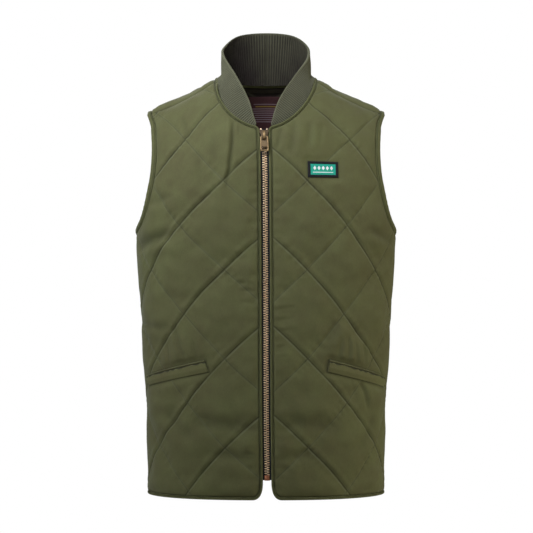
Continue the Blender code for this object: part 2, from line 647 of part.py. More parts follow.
def zip_strip(name, top, bottom, near, far, back, front, colour, roughness=0.8, metallic=0.0):
    """A strip down the front between two distances from the middle, and two heights over the form."""
    levels = np.linspace(top, bottom, int(abs(top - bottom) / ZIP_STEP) + 2)
    middle = lay_flat(FRONT, np.zeros(len(levels)), levels)
    corners = []
    for across, lift in ((near, back), (far, back), (far, front), (near, front)):
        flat = middle + [across, 0]
        corners.append(lifted(FRONT, flat, np.full(len(levels), lift)))
    loft(name, np.stack(corners, axis=1), colour, False, roughness, metallic)


def zip_frame():
    """Place and axes of the slider: across, up along the zip, and out."""
    flat = lay_flat(FRONT, np.zeros(1), np.array([HINGE_LEVEL]))
    out = form_normal(FRONT, flat)[0]
    up = np.cross(out, [1, 0, 0])
    up = up if up[2] > 0 else -up
    frame = Matrix.Identity(4)
    for row in range(3):
        frame[row][0] = 1.0 if row == 0 else 0.0
        frame[row][1] = up[row]
        frame[row][2] = out[row]
        frame[row][3] = form(FRONT, flat)[0][row]
    return frame


def plate(name, outline, low, high, colour, roughness=0.35, metallic=1.0):
    """A flat outline in the zip's frame, extruded between two heights."""
    mesh = bpy.data.meshes.new(name)
    work = bmesh.new()
    face = work.faces.new([work.verts.new((x, a, low)) for x, a in outline])
    grown = bmesh.ops.extrude_face_region(work, geom=[face], use_keep_orig=True)["geom"]
    raised = [v for v in grown if isinstance(v, bmesh.types.BMVert)]
    bmesh.ops.translate(work, verts=raised, vec=(0, 0, high - low))
    bmesh.ops.recalc_face_normals(work, faces=work.faces[:])
    work.to_mesh(mesh)
    work.free()
    mesh.transform(zip_frame())
    return placed(name, mesh, colour, roughness, metallic)


def rounded(half, low, high, corner, parts=3):
    """Outline of a rectangle with rounded corners."""
    points = []
    for x, a, start in ((half, high, 0), (-half, high, 90), (-half, low, 180), (half, low, 270)):
        for k in range(parts + 1):
            angle = math.radians(start + 90 * k / parts)
            points.append((x - math.copysign(corner, x) + corner * math.cos(angle),
                           a - (corner if a == high else -corner) + corner * math.sin(angle)))
    return points


def joined(target, helper, operation):
    """A live Boolean with a helper that is kept out of the render."""
    for other in list(helper.users_collection):
        other.objects.unlink(helper)
    cutters.objects.link(helper)
    helper.hide_render = True
    helper.display_type = "WIRE"
    step = target.modifiers.new(helper.name, "BOOLEAN")
    step.operation = operation
    step.solver = "EXACT"
    step.object = helper


def stop_seat():
    """Height in the zip's frame of a top stop's foot, just over the tape that carries it."""
    level = zip_frame().translation[2] + STOP_UP * zip_frame()[2][1]
    flat = lay_flat(FRONT, np.zeros(1), np.array([level])) + [STOP_ASIDE, 0]
    foot = lifted(FRONT, flat, np.array([GAP - TAPE_BEHIND]))[0]
    return (zip_frame().inverted() @ Vector(foot))[2]


def make_zip():
    seat = stop_seat()
    for hand, side in ((RIGHT, "right"), (LEFT, "left")):
        zip_strip("zip_tape_" + side, ZIP_TOP, STOP_END, hand * TAPE_INNER, hand * TAPE_OUTER,
                  -TAPE_BEHIND - TAPE_THICK, -TAPE_BEHIND, BLACK)
        plate("zip_top_stop_" + side, [(hand * STOP_ASIDE + 0.0012 * math.cos(t), STOP_UP + 0.0011 * math.sin(t))
                                       for t in np.linspace(0, 2 * math.pi, 9)[:-1]], seat, seat + STOP_TALL, BRASS)
    zip_strip("zip_chain", HINGE_LEVEL + CHAIN_IN, ZIP_END, -CHAIN_HALF, CHAIN_HALF, -CHAIN_BACK, CHAIN_FRONT,
              BRASS, 0.4, 1.0)
    zip_strip("zip_bottom_stop", ZIP_END - GAP, STOP_END, -0.0043, 0.0043, -0.0030, 0.0026, BRASS, 0.4, 1.0)
    slider = plate("zip_slider", [(-0.0046, -0.0040), (0.0046, -0.0040), (0.0050, 0.0040), (0.0074, 0.0100),
                                  (0.0062, 0.0132), (0.0000, 0.0115), (-0.0062, 0.0132), (-0.0074, 0.0100),
                                  (-0.0050, 0.0040)], 0.0040, 0.0060, BRASS)
    post = plate("slider_post", rounded(0.0020, 0.0070, 0.0110, 0.0006), -0.0040, 0.0050, BRASS)
    back_plate = plate("slider_back_plate", rounded(0.0056, -0.0030, 0.0122, 0.0020),
                       -CHAIN_BACK - SLIDER_CLEAR - 0.0016, -CHAIN_BACK - SLIDER_CLEAR, BRASS)
    joined(slider, post, "UNION")
    joined(slider, back_plate, "UNION")
    joined(slider, make_crown(), "UNION")
    pull = plate("zip_pull", rounded(PULL_HALF, -PULL_LENGTH, 0.0012, 0.0012), PULL_LIFT - PULL_THICK / 2,
                 PULL_LIFT + PULL_THICK / 2, BRASS)
    window = plate("pull_window", rounded(0.0030, -0.0064, -0.0010, 0.0008), 0.0050, 0.0120, BRASS)
    slot = plate("pull_slot", rounded(0.0043, -0.0218, -0.0172, 0.0010), 0.0050, 0.0120, BRASS)
    joined(pull, window, "DIFFERENCE")
    joined(pull, slot, "DIFFERENCE")


def make_crown():
    """The slider's bridge: a bent bar from one foot on the front plate to the other."""
    middle = np.array([(0.0100, 0.0052), (0.0094, 0.0090), (0.0066, 0.0105), (0.0006, 0.0105), (-0.0028, 0.0096),
                       (-0.0034, 0.0052)])
    ahead = np.gradient(middle, axis=0)
    ahead /= np.linalg.norm(ahead, axis=1, keepdims=True)
    aside = np.stack([-ahead[:, 1], ahead[:, 0]], axis=1) * 0.0007
    rings = np.stack([np.concatenate([np.full((len(middle), 1), x), middle + aside * sign], axis=1)
                      for x, sign in ((-0.0018, -1), (0.0018, -1), (0.0018, 1), (-0.0018, 1))], axis=1)
    crown = loft("slider_crown", rings, BRASS, False, 0.35, 1.0)
    crown.data.transform(zip_frame())
    return crown


def eased(t):
    t = np.clip(t, 0.0, 1.0)
    return t * t * (3 - 2 * t)


def hang_aside(mesh):
    """Moves the middle of the front aside by level, less towards the sides and not at all behind."""
    points = np.empty(len(mesh.vertices) * 3)
    mesh.vertices.foreach_get("co", points)
    points = points.reshape(-1, 3)
    share = eased((LEAN_WIDE - np.abs(points[:, 0])) / LEAN_FADE)
    share = share * eased((-points[:, 1] - LEAN_START) / LEAN_DEEP)
    points[:, 0] += share * smooth(points[:, 2], LEAN_LEVEL, LEAN_ASIDE)
    mesh.vertices.foreach_set("co", points.ravel())
    mesh.update()


for old in list(bpy.data.objects):
    bpy.data.objects.remove(old)
collection = bpy.data.collections.new(OBJECT_NAME)
cutters = bpy.data.collections.new(OBJECT_NAME + "_cutters")
bpy.context.scene.collection.children.link(collection)
bpy.context.scene.collection.children.link(cutters)
make_fronts()
make_back()
make_bands()
make_zip()
for thing in [*collection.objects, *cutters.objects]:
    hang_aside(thing.data)
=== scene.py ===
"""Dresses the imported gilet: quilted fronts and back, stitched bands, rib-knit collar, welts and brass zip.

Frame: metres, Z up, the front faces -Y, +X is the wearer's left. Pattern coordinates are s, the distance
round the body from the middle line, and w, the height, which runs on over the shoulder as length along
the cloth. form() lays a pattern point on the torso, and every cloth piece is a grid in (s, w) first.
"""
import json
import math

import bmesh
import bpy
import numpy as np
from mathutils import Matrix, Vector

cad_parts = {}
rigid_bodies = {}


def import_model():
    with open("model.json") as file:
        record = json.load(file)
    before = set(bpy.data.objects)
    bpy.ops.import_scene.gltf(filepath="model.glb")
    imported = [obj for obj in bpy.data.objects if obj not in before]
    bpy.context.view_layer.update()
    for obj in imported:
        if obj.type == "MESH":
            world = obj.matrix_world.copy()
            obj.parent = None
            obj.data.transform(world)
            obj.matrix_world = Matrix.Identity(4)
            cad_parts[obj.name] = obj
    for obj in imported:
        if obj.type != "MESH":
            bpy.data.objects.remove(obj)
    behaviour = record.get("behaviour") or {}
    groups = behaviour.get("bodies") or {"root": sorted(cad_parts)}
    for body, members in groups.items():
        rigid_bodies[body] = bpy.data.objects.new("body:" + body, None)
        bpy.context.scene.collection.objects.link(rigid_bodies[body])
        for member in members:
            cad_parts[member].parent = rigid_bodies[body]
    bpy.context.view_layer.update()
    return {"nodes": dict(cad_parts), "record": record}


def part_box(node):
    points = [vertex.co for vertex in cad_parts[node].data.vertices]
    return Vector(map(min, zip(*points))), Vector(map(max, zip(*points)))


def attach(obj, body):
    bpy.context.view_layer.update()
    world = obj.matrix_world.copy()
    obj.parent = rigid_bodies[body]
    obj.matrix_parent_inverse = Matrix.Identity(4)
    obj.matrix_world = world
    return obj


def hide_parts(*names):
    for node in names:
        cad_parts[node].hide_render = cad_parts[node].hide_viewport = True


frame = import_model()

bl_info = {
    "name": "Quilted gilet",
    "version": (1, 0, 0),
    "blender": (4, 5, 0),
    "location": "View3D > Sidebar > Gilet",
    "description": "Cloth, knit and zip of a quilted gilet laid on its packed solids",
    "category": "Object",
}

FRONT = -1
BACK = 1
RIGHT = -1
LEFT = 1
SIDES = ((RIGHT, "right"), (LEFT, "left"))
BODY = "garment"
MILLIMETRE = 0.001
COLOURS = {row["slot"]: tuple(row["base_color"]) for row in frame["record"]["materials"]}

# Body form: a row for each level, with the half width and the depth in front of and behind the side seam
LEVEL = np.array([-0.7, -0.63, -0.565, -0.445, -0.34, -0.25, -0.15, -0.06, 0.08])
HALF_WIDTH = np.array([0.1938, 0.191, 0.1922, 0.1988, 0.2052, 0.2112, 0.215, 0.216, 0.216])
FRONT_DEPTH = np.array([0.127, 0.129, 0.131, 0.134, 0.136, 0.137, 0.135, 0.132, 0.13])
BACK_DEPTH = np.array([0.116, 0.114, 0.111, 0.109, 0.113, 0.121, 0.123, 0.119, 0.115])
SECTION_POWER = 2.35
SECTION_RATIO = 0.63
RIDGE_X = np.array([0.0, 0.045, 0.079, 0.11, 0.15, 0.196, 0.23])
RIDGE_Z = np.array([0.0235, 0.0165, 0.001, -0.018, -0.0385, -0.0545, -0.065])
SHOULDER_RUN = {FRONT: 0.21, BACK: 0.165}
SHOULDER_DEPTH = 0.13
SETTLE_STEPS = 6
MOST_PAIRS = 2000000

# Edges
GAP = 0.0003
HEM = -0.6745
FRONT_EDGE = 0.0115
BAND = 0.0046
BAND_LIFT = 0.0036
BAND_STEP = 0.0022
HEM_STEP = 0.0025
BAND_TUCK = 0.0016
NECK_HALF = 0.0835
NECK_FRONT_DROP = 0.0885
NECK_BACK_DROP = 0.0065
NECK_POWER = 1.85
TOP_CORNER = 0.007
HEM_CORNER_WIDE = 0.0125
HEM_CORNER_TALL = 0.027
HEM_CORNER_POWER = 2.6
HEM_BACK_RISE = 0.01
NECK_END = (0.88, 0.018)
SIDE_END = (0.45, 0.03)
ARM_TIP_FLAT = 0.55
ARM_TIP_REACH = 0.016
SEAM_DROP = 0.0075
SEAM_UNDER = 0.0004
ARM_BAND = 0.0105
ARM_LEVEL = np.array([-0.0585, -0.08, -0.119, -0.157, -0.184, -0.2095, -0.2285, -0.2405])
ARM_FRONT = np.array([0.193, 0.1868, 0.184, 0.1857, 0.1905, 0.196, 0.2018, 0.2082])
ARM_BACK = np.array([0.1935, 0.1885, 0.1862, 0.188, 0.1925, 0.1975, 0.2028, 0.2086])
ARM_TIP = 0.1942
UNDERARM = -0.2455
ARM_STEP = 0.013125
NECK_STEP = 0.0105
ARM_LONG = {FRONT: 0.275, BACK: 0.215}
ACROSS_LONG = {FRONT: 0.25, BACK: 0.24}

# Quilting: half height of a diamond, the level of a crossing, and the distance round the body of each column
QUILT_TALL = 0.0708
QUILT_LEVEL = -0.171
QUILT_COLUMN = np.arange(-4.0, 5.0)
QUILT = {
    "front_right": np.array([-0.2519, -0.1723, -0.0927, -0.0131, 0.0665, 0.1335, 0.1925, 0.2515, 0.3105]),
    "front_left": np.array([-0.2315, -0.157, -0.0825, -0.008, 0.0665, 0.1315, 0.1885, 0.2455, 0.3025]),
    "back": 0.0796 * QUILT_COLUMN,
}
# How far the outer crossings stray from their column, by level
STRAY_LEVEL = np.array([-0.7, -0.525, -0.388, -0.246, -0.1, 0.05])
STRAY = {
    "front_right": np.array([-0.008, -0.0065, -0.001, 0.006, -0.003, -0.003]),
    "front_left": np.array([0.0, 0.0, -0.006, -0.001, 0.005, 0.004]),
    "back": np.array([0.0, 0.004, -0.003, -0.002, 0.004, 0.0]),
}
STRAY_START = 0.0665
STRAY_RUN = 0.066
COLUMN_WIDE = 0.068
QUILT_RUN = math.hypot(COLUMN_WIDE, QUILT_TALL)
QUILT_APART = 2 * COLUMN_WIDE * QUILT_TALL / QUILT_RUN
PUFF_POWER = 0.62
PRESSED = 0.0006
EDGE_FADE = 0.022
BACK_MESH = 1.4
FOLD_GAIN = 1.4
SAG_STRONG = 0.0013
SAG_WEAK = 0.0003
CALM_WIDE = 0.075
CALM_FADE = 0.055
# Puckers: height and length of the wave, across the sewn lines, by the front edge and by the hem
LINE_PUCKER = (0.00036, 0.0125)
EDGE_PUCKER = (0.0006, 0.0185)
HEM_PUCKER = (0.00035, 0.021)
PUCKER_REACH = 0.004
SEAM_WIDE = 0.0012
EDGE_ROLL = 0.004
PRESS_START = 0.0006
PRESS_FADE = 0.011
PRESS_SEAM = 0.0014
LOWEST = 0.0009
STITCH_SHARE = 0.74
STITCH_RISE = 0.0001
CLEAR_OF_EDGE = 0.0045
CLEAR_OF_PIECE = 0.0012
# Slow crumples of the cloth: length and direction of the wave, height and phase
CRUMPLES = ((0.071, 0.4, 0.00042, 0.3), (0.052, 2.2, 0.00036, 1.9), (0.043, 1.1, 0.00032, 4.1),
            (0.034, 2.8, 0.00025, 2.6), (0.027, 0.2, 0.00018, 5.3), (0.022, 1.7, 0.00014, 0.8))

# Pieces laid on a panel: corners as distance from the middle and level
WELTS = {
    "right": ((0.096, -0.456), (0.19, -0.485), (0.1868, -0.5014), (0.09, -0.4755)),
    "left": ((0.1, -0.4555), (0.1895, -0.487), (0.1885, -0.5045), (0.0965, -0.4755)),
}
WELT_LIFT = 0.0028
WELT_TALL = 0.0178
WELT_MOUTH = 0.0031
WELT_MOUTH_DEEP = 0.001
WELT_ROW = 0.0062
WELT_END_ROW = 0.014
WELT_STITCH_SHARE = 0.7
PATCH_MIDDLE = (0.091, -0.154)
PATCH_SIZE = (0.048, 0.0255)
PATCH_LIFT = 0.0012
PATCH_GROUND = 0.0007
PATCH_BORDER = 0.0042
# Lozenges of the patch: distance apart, half width and half height, and their level
LOZENGES = (0.0066, 0.0025, 0.0036, 0.0022)
# Pale lines of the label: level and half length
LABEL_LINES = ((0.017, 0.021), (0.008, 0.024), (0.004, 0.022), (0.0, 0.024), (-0.004, 0.019), (-0.008, 0.023),
               (-0.012, 0.02), (-0.016, 0.022))
LABEL_LEVELS = (-0.021, -0.076)
LABEL_HALF = 0.032
LABEL_LIFT = 0.0008
NECK_TAPE_EDGES = (0.003, 0.0105)
NECK_TAPE_HALF = 0.062
NECK_TAPE_STEP = 0.002

# Collar: a row for each share of the way from the front end to the middle of the back
RIM_SHARE = np.array([0.0, 0.15, 0.38, 0.57, 0.71, 0.86, 1.0, 1.14])
RIM_X = np.array([0.0115, 0.0225, 0.0485, 0.071, 0.071, 0.046, 0.0, -0.046])
RIM_Y = np.array([-0.1125, -0.096, -0.052, -0.008, 0.027, 0.055, 0.062, 0.055])
RIM_Z = np.array([-0.079, -0.043, 0.005, 0.039, 0.0575, 0.0785, 0.084, 0.0785])
COLLAR_WALL = 0.0036
COLLAR_BULGE = 0.001
COLLAR_WAIST = 0.0048
COLLAR_WAIST_AT = 0.57
COLLAR_WAIST_WIDE = 0.17
COLLAR_FLARE = 0.22
COLLAR_FOOT = 0.0032
COLLAR_ROLL = (0.0006, 0.0045)
COLLAR_FOOT_WIDE = 0.1
COLLAR_FOOT_TALL = 0.12
COLLAR_MIDDLE = (0, -0.02, 0)
COLLAR_SAG = 0.0007
COLLAR_STEP = 0.003
RIB_POINTS = 8
RIM_PLAIN = (0.001, 0.0024)

# How far the middle of the closed front hangs aside, by level
LEAN_LEVEL = np.array([-0.7, -0.644, -0.5675, -0.4, -0.226, -0.15, -0.107, -0.06, -0.02, 0.02, 0.06])
LEAN_ASIDE = np.array([0.0022, 0.0018, 0.0008, 0.0, -0.0009, -0.0016, -0.0027, -0.004, -0.0025, -0.0006, 0.0])
LEAN_WIDE = 0.16
LEAN_FADE = 0.1
LEAN_START = 0.02
LEAN_DEEP = 0.06

# Zip
TAPE_OUTER = 0.0165
TAPE_BEHIND = 0.0007
TAPE_THICK = 0.001
# The tape's bead under the teeth: distance from the middle, and height
BEAD_ACROSS = (0.0012, 0.0007, 0.0012, 0.0022)
BEAD_HIGH = (-0.0012, -0.0004, 0.0001, -0.0002)
BEAD_END = 0.0034
STUD_RADIUS = 0.00155
STUD_TALL = 0.003
ZIP_TOP = -0.0875
ZIP_END = -0.6395
STOP_END = -0.648
STOP_HALF = 0.0043
STOP_LIFT = 0.0023
STOP_ROWS = 26
CHAIN_TOP = -0.103
# A tooth from its foot to its head: distance from the middle, half height and half depth
TOOTH = ((0.004, 0.0036, 0.0024, 0.001, -0.0002, -0.0008),
         (0.0006, 0.00106, 0.00118, 0.00074, 0.00076, 0.0004),
         (0.0012, 0.002, 0.0023, 0.0016, 0.0014, 0.0008))
HINGE_LEVEL = -0.1037
PULL_LIFT = 0.0078
PULL_HALF = 0.0066
PULL_LENGTH = 0.025
PULL_ABOVE = 0.0012
RIM_INSET = 0.0009
RIM_RISE = 0.0008
RIM_HALF = (0.00062, 0.0006)

# Stage
CAMERA_ASIDE = 0.0008
FLOOR_LEVEL = -1.45
EVEN_LIGHT = 0.115
# Lamps: name, place, aim, size, share of the key light, colour and spread in degrees
LAMPS = (("key_above_front", (-0.62, -1.16, 0.95), (0, 0, 0), (0.9, 0.7), 1.0, (0.97, 1.0, 1.12), 59),
         ("side_right", (1.8, -0.28, -0.3), (0, 0, -0.38), (0.8, 1.5), 3.5, (1.06, 1.0, 0.8), 180),
         ("side_left", (-1.8, -0.28, -0.3), (0, 0, -0.38), (0.8, 1.5), 1.35, (0.97, 1.0, 1.05), 180),
         ("back_above", (-0.5, 1.7, 1.1), (0, 0, -0.25), (1.6, 1.0), 4.8, (1.0, 1.0, 1.0), 180))

# Creases, in millimetres: distance from the middle and level at each end, half width, depth
# and bow to a side
FOLDS = {
    "front_right": (
        (47, -78, 59, -170, 3.4, 2.4, -2), (38, -81, 40, -98, 2.6, 0.9, 0),
        (204, -274, 154, -253, 10, 3.2, 4), (203, -393, 160, -406, 8, 1.8, 3),
        (144, -408, 126, -453, 3.8, 2.1, 2), (158, -430, 152, -465, 3.4, 1.1, 0),
        (113, -425, 108, -452, 4, 1, 1), (12.5, -337, 48, -333, 2.8, 0.5, 1),
        (12.5, -347, 42, -345, 2.6, 0.5, 0), (12.5, -369, 40, -364, 3, 0.4, 1),
        (12.5, -608, 34, -604, 3, 0.5, 0), (108, -552, 17, -561, 13, 2.4, 4),
        (84, -606, 24, -609, 9.5, 1.8, 2), (155, -540, 118, -576, 12, 1.8, 3),
        (133, -70, 120, -102, 5.2, 1.4, 1), (80, -100, 76, -142, 7, 0.9, 1),
        (106, -129, 101, -160, 6, 0.9, 0), (185, -205, 150, -196, 7, 1.2, 1),
    ),
    "front_left": (
        (27, -85, 21, -118, 4.6, 1.3, 1), (48, -80, 42, -126, 5.6, 1.4, 1),
        (72, -80, 69, -118, 5.4, 1.2, 0), (90, -84, 86, -112, 4.4, 0.8, 0),
        (12.5, -377, 46, -372, 2.8, 0.5, 1), (12.5, -393, 40, -390, 2.8, 0.4, 0),
        (12.5, -412, 36, -408, 3, 0.4, 0), (12.5, -436, 32, -434, 2.6, 0.5, 0),
        (12.5, -452, 34, -450, 2.8, 0.4, 0), (149, -490, 160, -533, 4, 2, 2),
        (133, -485, 140, -505, 3.6, 0.9, 0), (118, -423, 114, -452, 3.6, 1.1, 0),
        (130, -420, 129, -455, 3.2, 1.4, 1), (142, -430, 143, -460, 3.2, 1.2, 0),
        (155, -436, 158, -466, 3.4, 1.1, 1), (108, -396, 96, -426, 9, 1.6, 2),
        (203, -262, 165, -250, 9, 2, 3), (30, -556, 101, -566, 13, 2, 3),
        (22, -613, 70, -609, 9, 1.4, 2), (170, -550, 148, -600, 10, 1.6, 2),
    ),
    "back": (
        (-90, -70, -78, -135, 6, 1.5, 2), (98, -62, 88, -118, 5.6, 1.4, -2),
        (-26, -60, -22, -100, 5, 0.9, 0), (42, -56, 39, -102, 5.2, 1, 1),
        (-203, -271, -152, -252, 9.5, 2.6, 3), (202, -266, 156, -254, 9, 2.2, -3),
        (-170, -165, -144, -210, 7, 1.4, 2), (172, -158, 150, -200, 6.6, 1.3, -2),
        (-150, -415, -35, -432, 15, 2.6, 6), (20, -438, 140, -421, 14, 2.2, -5),
        (-90, -486, 30, -493, 13, 2, 5), (-170, -547, -80, -564, 12, 2, 4),
        (64, -562, 165, -546, 13, 2, -4), (-50, -606, 50, -611, 10, 1.4, 3),
        (8, -270, 2, -330, 9, 1, 2),
    ),
}


def metres(name, about, default, low, high):
    """A size of the sidebar."""
    return bpy.props.FloatProperty(name=name, description=about, default=default, min=low, max=high, unit="LENGTH")


def hue(name, about, default):
    """A colour of the sidebar."""
    return bpy.props.FloatVectorProperty(name=name, description=about, default=default, size=3, subtype="COLOR")


class ClothSizes(bpy.types.PropertyGroup):
    """Sizes and colours of the quilted cloth, the bands and the knit."""
    thickness: metres("Cloth", "Wall at a stitched line", 0.0024, 0.001, 0.01)
    puff: metres("Puff", "Rise of the wadding in the middle of a diamond", 0.0048, 0.0, 0.02)
    mesh: metres("Mesh", "Length of a cell in the panels' grids", 0.0021, 0.001, 0.02)
    stitch: metres("Stitch", "Distance from one stitch to the next", 0.0034, 0.001, 0.01)
    ribs: bpy.props.IntProperty(name="Ribs", description="Ribs in half the collar", default=76, min=10, max=200)
    rib: metres("Rib", "Depth between two ribs of the collar", 0.0009, 0.0, 0.003)
    olive: hue("Olive", "Brushed side of the shell cloth", (0.107, 0.114, 0.043))
    band: hue("Band", "Cloth of the stitched edges", (0.101, 0.105, 0.04))
    knit: hue("Knit", "Yarn of the collar", (0.121, 0.123, 0.071))


class ZipSizes(bpy.types.PropertyGroup):
    """Sizes and colours of the zip."""
    pitch: metres("Pitch", "Distance from one tooth to the next on a tape", 0.0038, 0.001, 0.01)
    brass: hue("Brass", "Polished metal of teeth and slider", COLOURS["zip_metal"])
    tape: hue("Tape", "Woven tape beside the teeth", COLOURS["zip_tape"])


class StageSizes(bpy.types.PropertyGroup):
    """Camera and light."""
    distance: metres("Distance", "Camera to the side seams", 3.5, 1.0, 10.0)
    eye: metres("Eye", "Level of the camera", -0.3077, -2.0, 2.0)
    lens: bpy.props.FloatProperty(name="Lens", description="Focal length in millimetres", default=143.27,
                                  min=20.0, max=300.0)
    key: bpy.props.FloatProperty(name="Key light", description="Power of the light above the front",
                                 default=4.9, min=0.0, max=500.0, subtype="POWER")


def smooth(at, xs, ys):
    """Cubic curve through the rows (xs, ys), read at each value of at, and held level past both ends."""
    slopes = np.gradient(ys, xs)
    low = np.clip(np.searchsorted(xs, at) - 1, 0, len(xs) - 2)
    span = xs[low + 1] - xs[low]
    t = np.clip((at - xs[low]) / span, 0.0, 1.0)
    start = (1 + 2 * t) * (1 - t) ** 2 * ys[low] + t * (1 - t) ** 2 * span * slopes[low]
    end = t * t * (3 - 2 * t) * ys[low + 1] + t * t * (t - 1) * span * slopes[low + 1]
    return start + end


# The rounded section to a little past its side, by the distance round it for a half width of 1
TURN = np.linspace(0.0, math.pi / 2, 321)
QUARTER = len(TURN)
PAST_SIDE = np.linspace(0.0, 0.55 * math.pi, 353)
ROUND_X = np.sin(PAST_SIDE) ** (2 / SECTION_POWER)
ROUND_Y = np.sign(np.cos(PAST_SIDE)) * np.abs(np.cos(PAST_SIDE)) ** (2 / SECTION_POWER)
AROUND = np.concatenate([[0], np.cumsum(np.hypot(np.diff(ROUND_X), SECTION_RATIO * np.diff(ROUND_Y)))])
TO_SIDE = AROUND[QUARTER - 1]

# The shoulder's quarter oval from the ridge down, by the distance along it
FALL = {face: run * (1 - np.cos(TURN)) for face, run in SHOULDER_RUN.items()}
REACH = np.sin(TURN)
DOWN = {face: np.concatenate([[0], np.cumsum(np.hypot(np.diff(fall), SHOULDER_DEPTH * np.diff(REACH)))])
        for face, fall in FALL.items()}
EXTRA = {face: DOWN[face][-1] - SHOULDER_RUN[face] for face in DOWN}


def shoulder(face, below):
    """Fall below the ridge and share of the full depth, at a distance along the cloth below the ridge."""
    past = np.maximum(below - DOWN[face][-1], 0.0)
    return np.interp(below, DOWN[face], FALL[face]) + past, np.interp(below, DOWN[face], REACH)


def form(face, flat):
    """Lays pattern points (s, w) on the torso: round a rounded section at their level, and over the shoulder."""
    s = np.asarray(flat)[..., 0]
    w = np.asarray(flat)[..., 1]
    x = np.abs(s)
    for _ in range(SETTLE_STEPS):
        ridge = smooth(x, RIDGE_X, RIDGE_Z)
        below = ridge + EXTRA[face] - w
        fall, reach = shoulder(face, np.maximum(below, 0.0))
        fall_over, reach_over = shoulder(-face, np.maximum(-below, 0.0))
        z = ridge - np.where(below < 0, fall_over, fall)
        half = smooth(z, LEVEL, HALF_WIDTH)
        around = np.abs(s) / half
        x = half * np.interp(around, AROUND, ROUND_X)
    depth = {FRONT: smooth(z, LEVEL, FRONT_DEPTH), BACK: smooth(z, LEVEL, BACK_DEPTH)}
    y = np.where(below < 0, -face * reach_over * depth[-face], face * reach * depth[face])
    return np.stack([np.sign(s) * x, y * np.interp(around, AROUND, ROUND_Y), z], axis=-1)


def form_normal(face, flat, step=0.0016):
    """Outward direction of the form: the cross product of its slopes along s and w."""
    flat = np.asarray(flat, float)
    side = form(face, flat + [step, 0]) - form(face, flat - [step, 0])
    rise = form(face, flat + [0, step]) - form(face, flat - [0, step])
    return unit(np.cross(side, rise) * -face)


def unit(rows):
    """The rows at length 1."""
    return rows / np.maximum(np.linalg.norm(rows, axis=-1, keepdims=True), 1e-12)


def lay_flat(face, x, z, over=False):
    """Pattern point of a place seen from the front or the back; over is for the far side of the ridge."""
    x = np.asarray(x, float)
    ridge = smooth(np.abs(x), RIDGE_X, RIDGE_Z)
    half = smooth(z, LEVEL, HALF_WIDTH)
    s = half * np.interp(np.abs(x) / half, ROUND_X[:QUARTER], AROUND[:QUARTER])
    fall = np.maximum(ridge - z, 0.0)
    near = -face if over else face
    along = np.interp(fall, FALL[near], DOWN[near]) + np.maximum(fall - SHOULDER_RUN[near], 0.0)
    w = ridge + EXTRA[face] + (along if over else -along)
    return np.stack([np.sign(x) * s, w], axis=-1)


def side_seam(z):
    """Distance round the body from the middle to the side seam, by level."""
    return smooth(np.asarray(z, float), LEVEL, HALF_WIDTH) * TO_SIDE


def distance_along(points):
    """Distance from the first point of a line to each of its points."""
    return np.concatenate([[0], np.cumsum(np.linalg.norm(np.diff(points, axis=0), axis=1))])


def evenly(points, count):
    """The same line as count points an even distance apart."""
    points = np.asarray(points, float)
    along = distance_along(points)
    at = np.linspace(0, along[-1], count)
    return np.stack([np.interp(at, along, points[:, k]) for k in range(points.shape[1])], axis=1)


def stepped(points, step):
    """The same line with its points about one step apart."""
    reach = distance_along(points)[-1]
    return evenly(points, max(2, int(round(reach / step)) + 1))


def moved_left(line, distance):
    """The flat line moved to the left of its direction."""
    ahead = unit(np.gradient(line, axis=0))
    return line + distance * np.stack([-ahead[:, 1], ahead[:, 0]], axis=1)


def neck_edge(face, turn):
    """The panels' neck edge: an oval seen from the front, from the ridge (0) to the middle (a right angle)."""
    drop = NECK_FRONT_DROP if face == FRONT else NECK_BACK_DROP
    ridge = smooth(np.array(NECK_HALF), RIDGE_X, RIDGE_Z)
    power = 2 / NECK_POWER
    return NECK_HALF * np.abs(np.cos(turn)) ** power, ridge - drop * np.sin(turn) ** power


def neck_seam_turn():
    """Where the front neck edge is as far below the ridge as the shoulder seam."""
    turn = np.linspace(0.0, 0.8, 400)
    x, z = neck_edge(FRONT, turn)
    return float(np.interp(SEAM_DROP, smooth(x, RIDGE_X, RIDGE_Z) - z, turn))


def front_lines():
    """Flat edges of a front: hem from the side seam, hem corner, front edge, top corner and neck, in order."""
    quarter = np.linspace(0.0, math.pi / 2, 25)
    hem_middle = FRONT_EDGE + HEM_CORNER_WIDE
    hem = np.array([(float(side_seam(HEM)), HEM), (hem_middle, HEM)])
    power = 2 / HEM_CORNER_POWER
    corner = np.stack([hem_middle - HEM_CORNER_WIDE * np.sin(quarter) ** power,
                       HEM + HEM_CORNER_TALL * (1 - np.abs(np.cos(quarter)) ** power)], axis=1)
    start = math.acos(((FRONT_EDGE + TOP_CORNER) / NECK_HALF) ** (NECK_POWER / 2))
    neck = lay_flat(FRONT, *neck_edge(FRONT, np.linspace(start, neck_seam_turn(), 120)))
    neck[:, 0] += FRONT_EDGE + TOP_CORNER - neck[0, 0]
    edge_top = neck[0, 1] - TOP_CORNER
    edge = np.array([corner[-1], (FRONT_EDGE, edge_top)])
    fillet = np.stack([FRONT_EDGE + TOP_CORNER * (1 - np.cos(quarter)),
                       edge_top + TOP_CORNER * np.sin(quarter)], axis=1)
    return hem, corner, edge, fillet, neck


def back_hem(s):
    """Level of the back's hem, which rises a little to its middle."""
    return HEM + HEM_BACK_RISE * np.cos(math.pi / 2 * s / side_seam(HEM)) ** 2


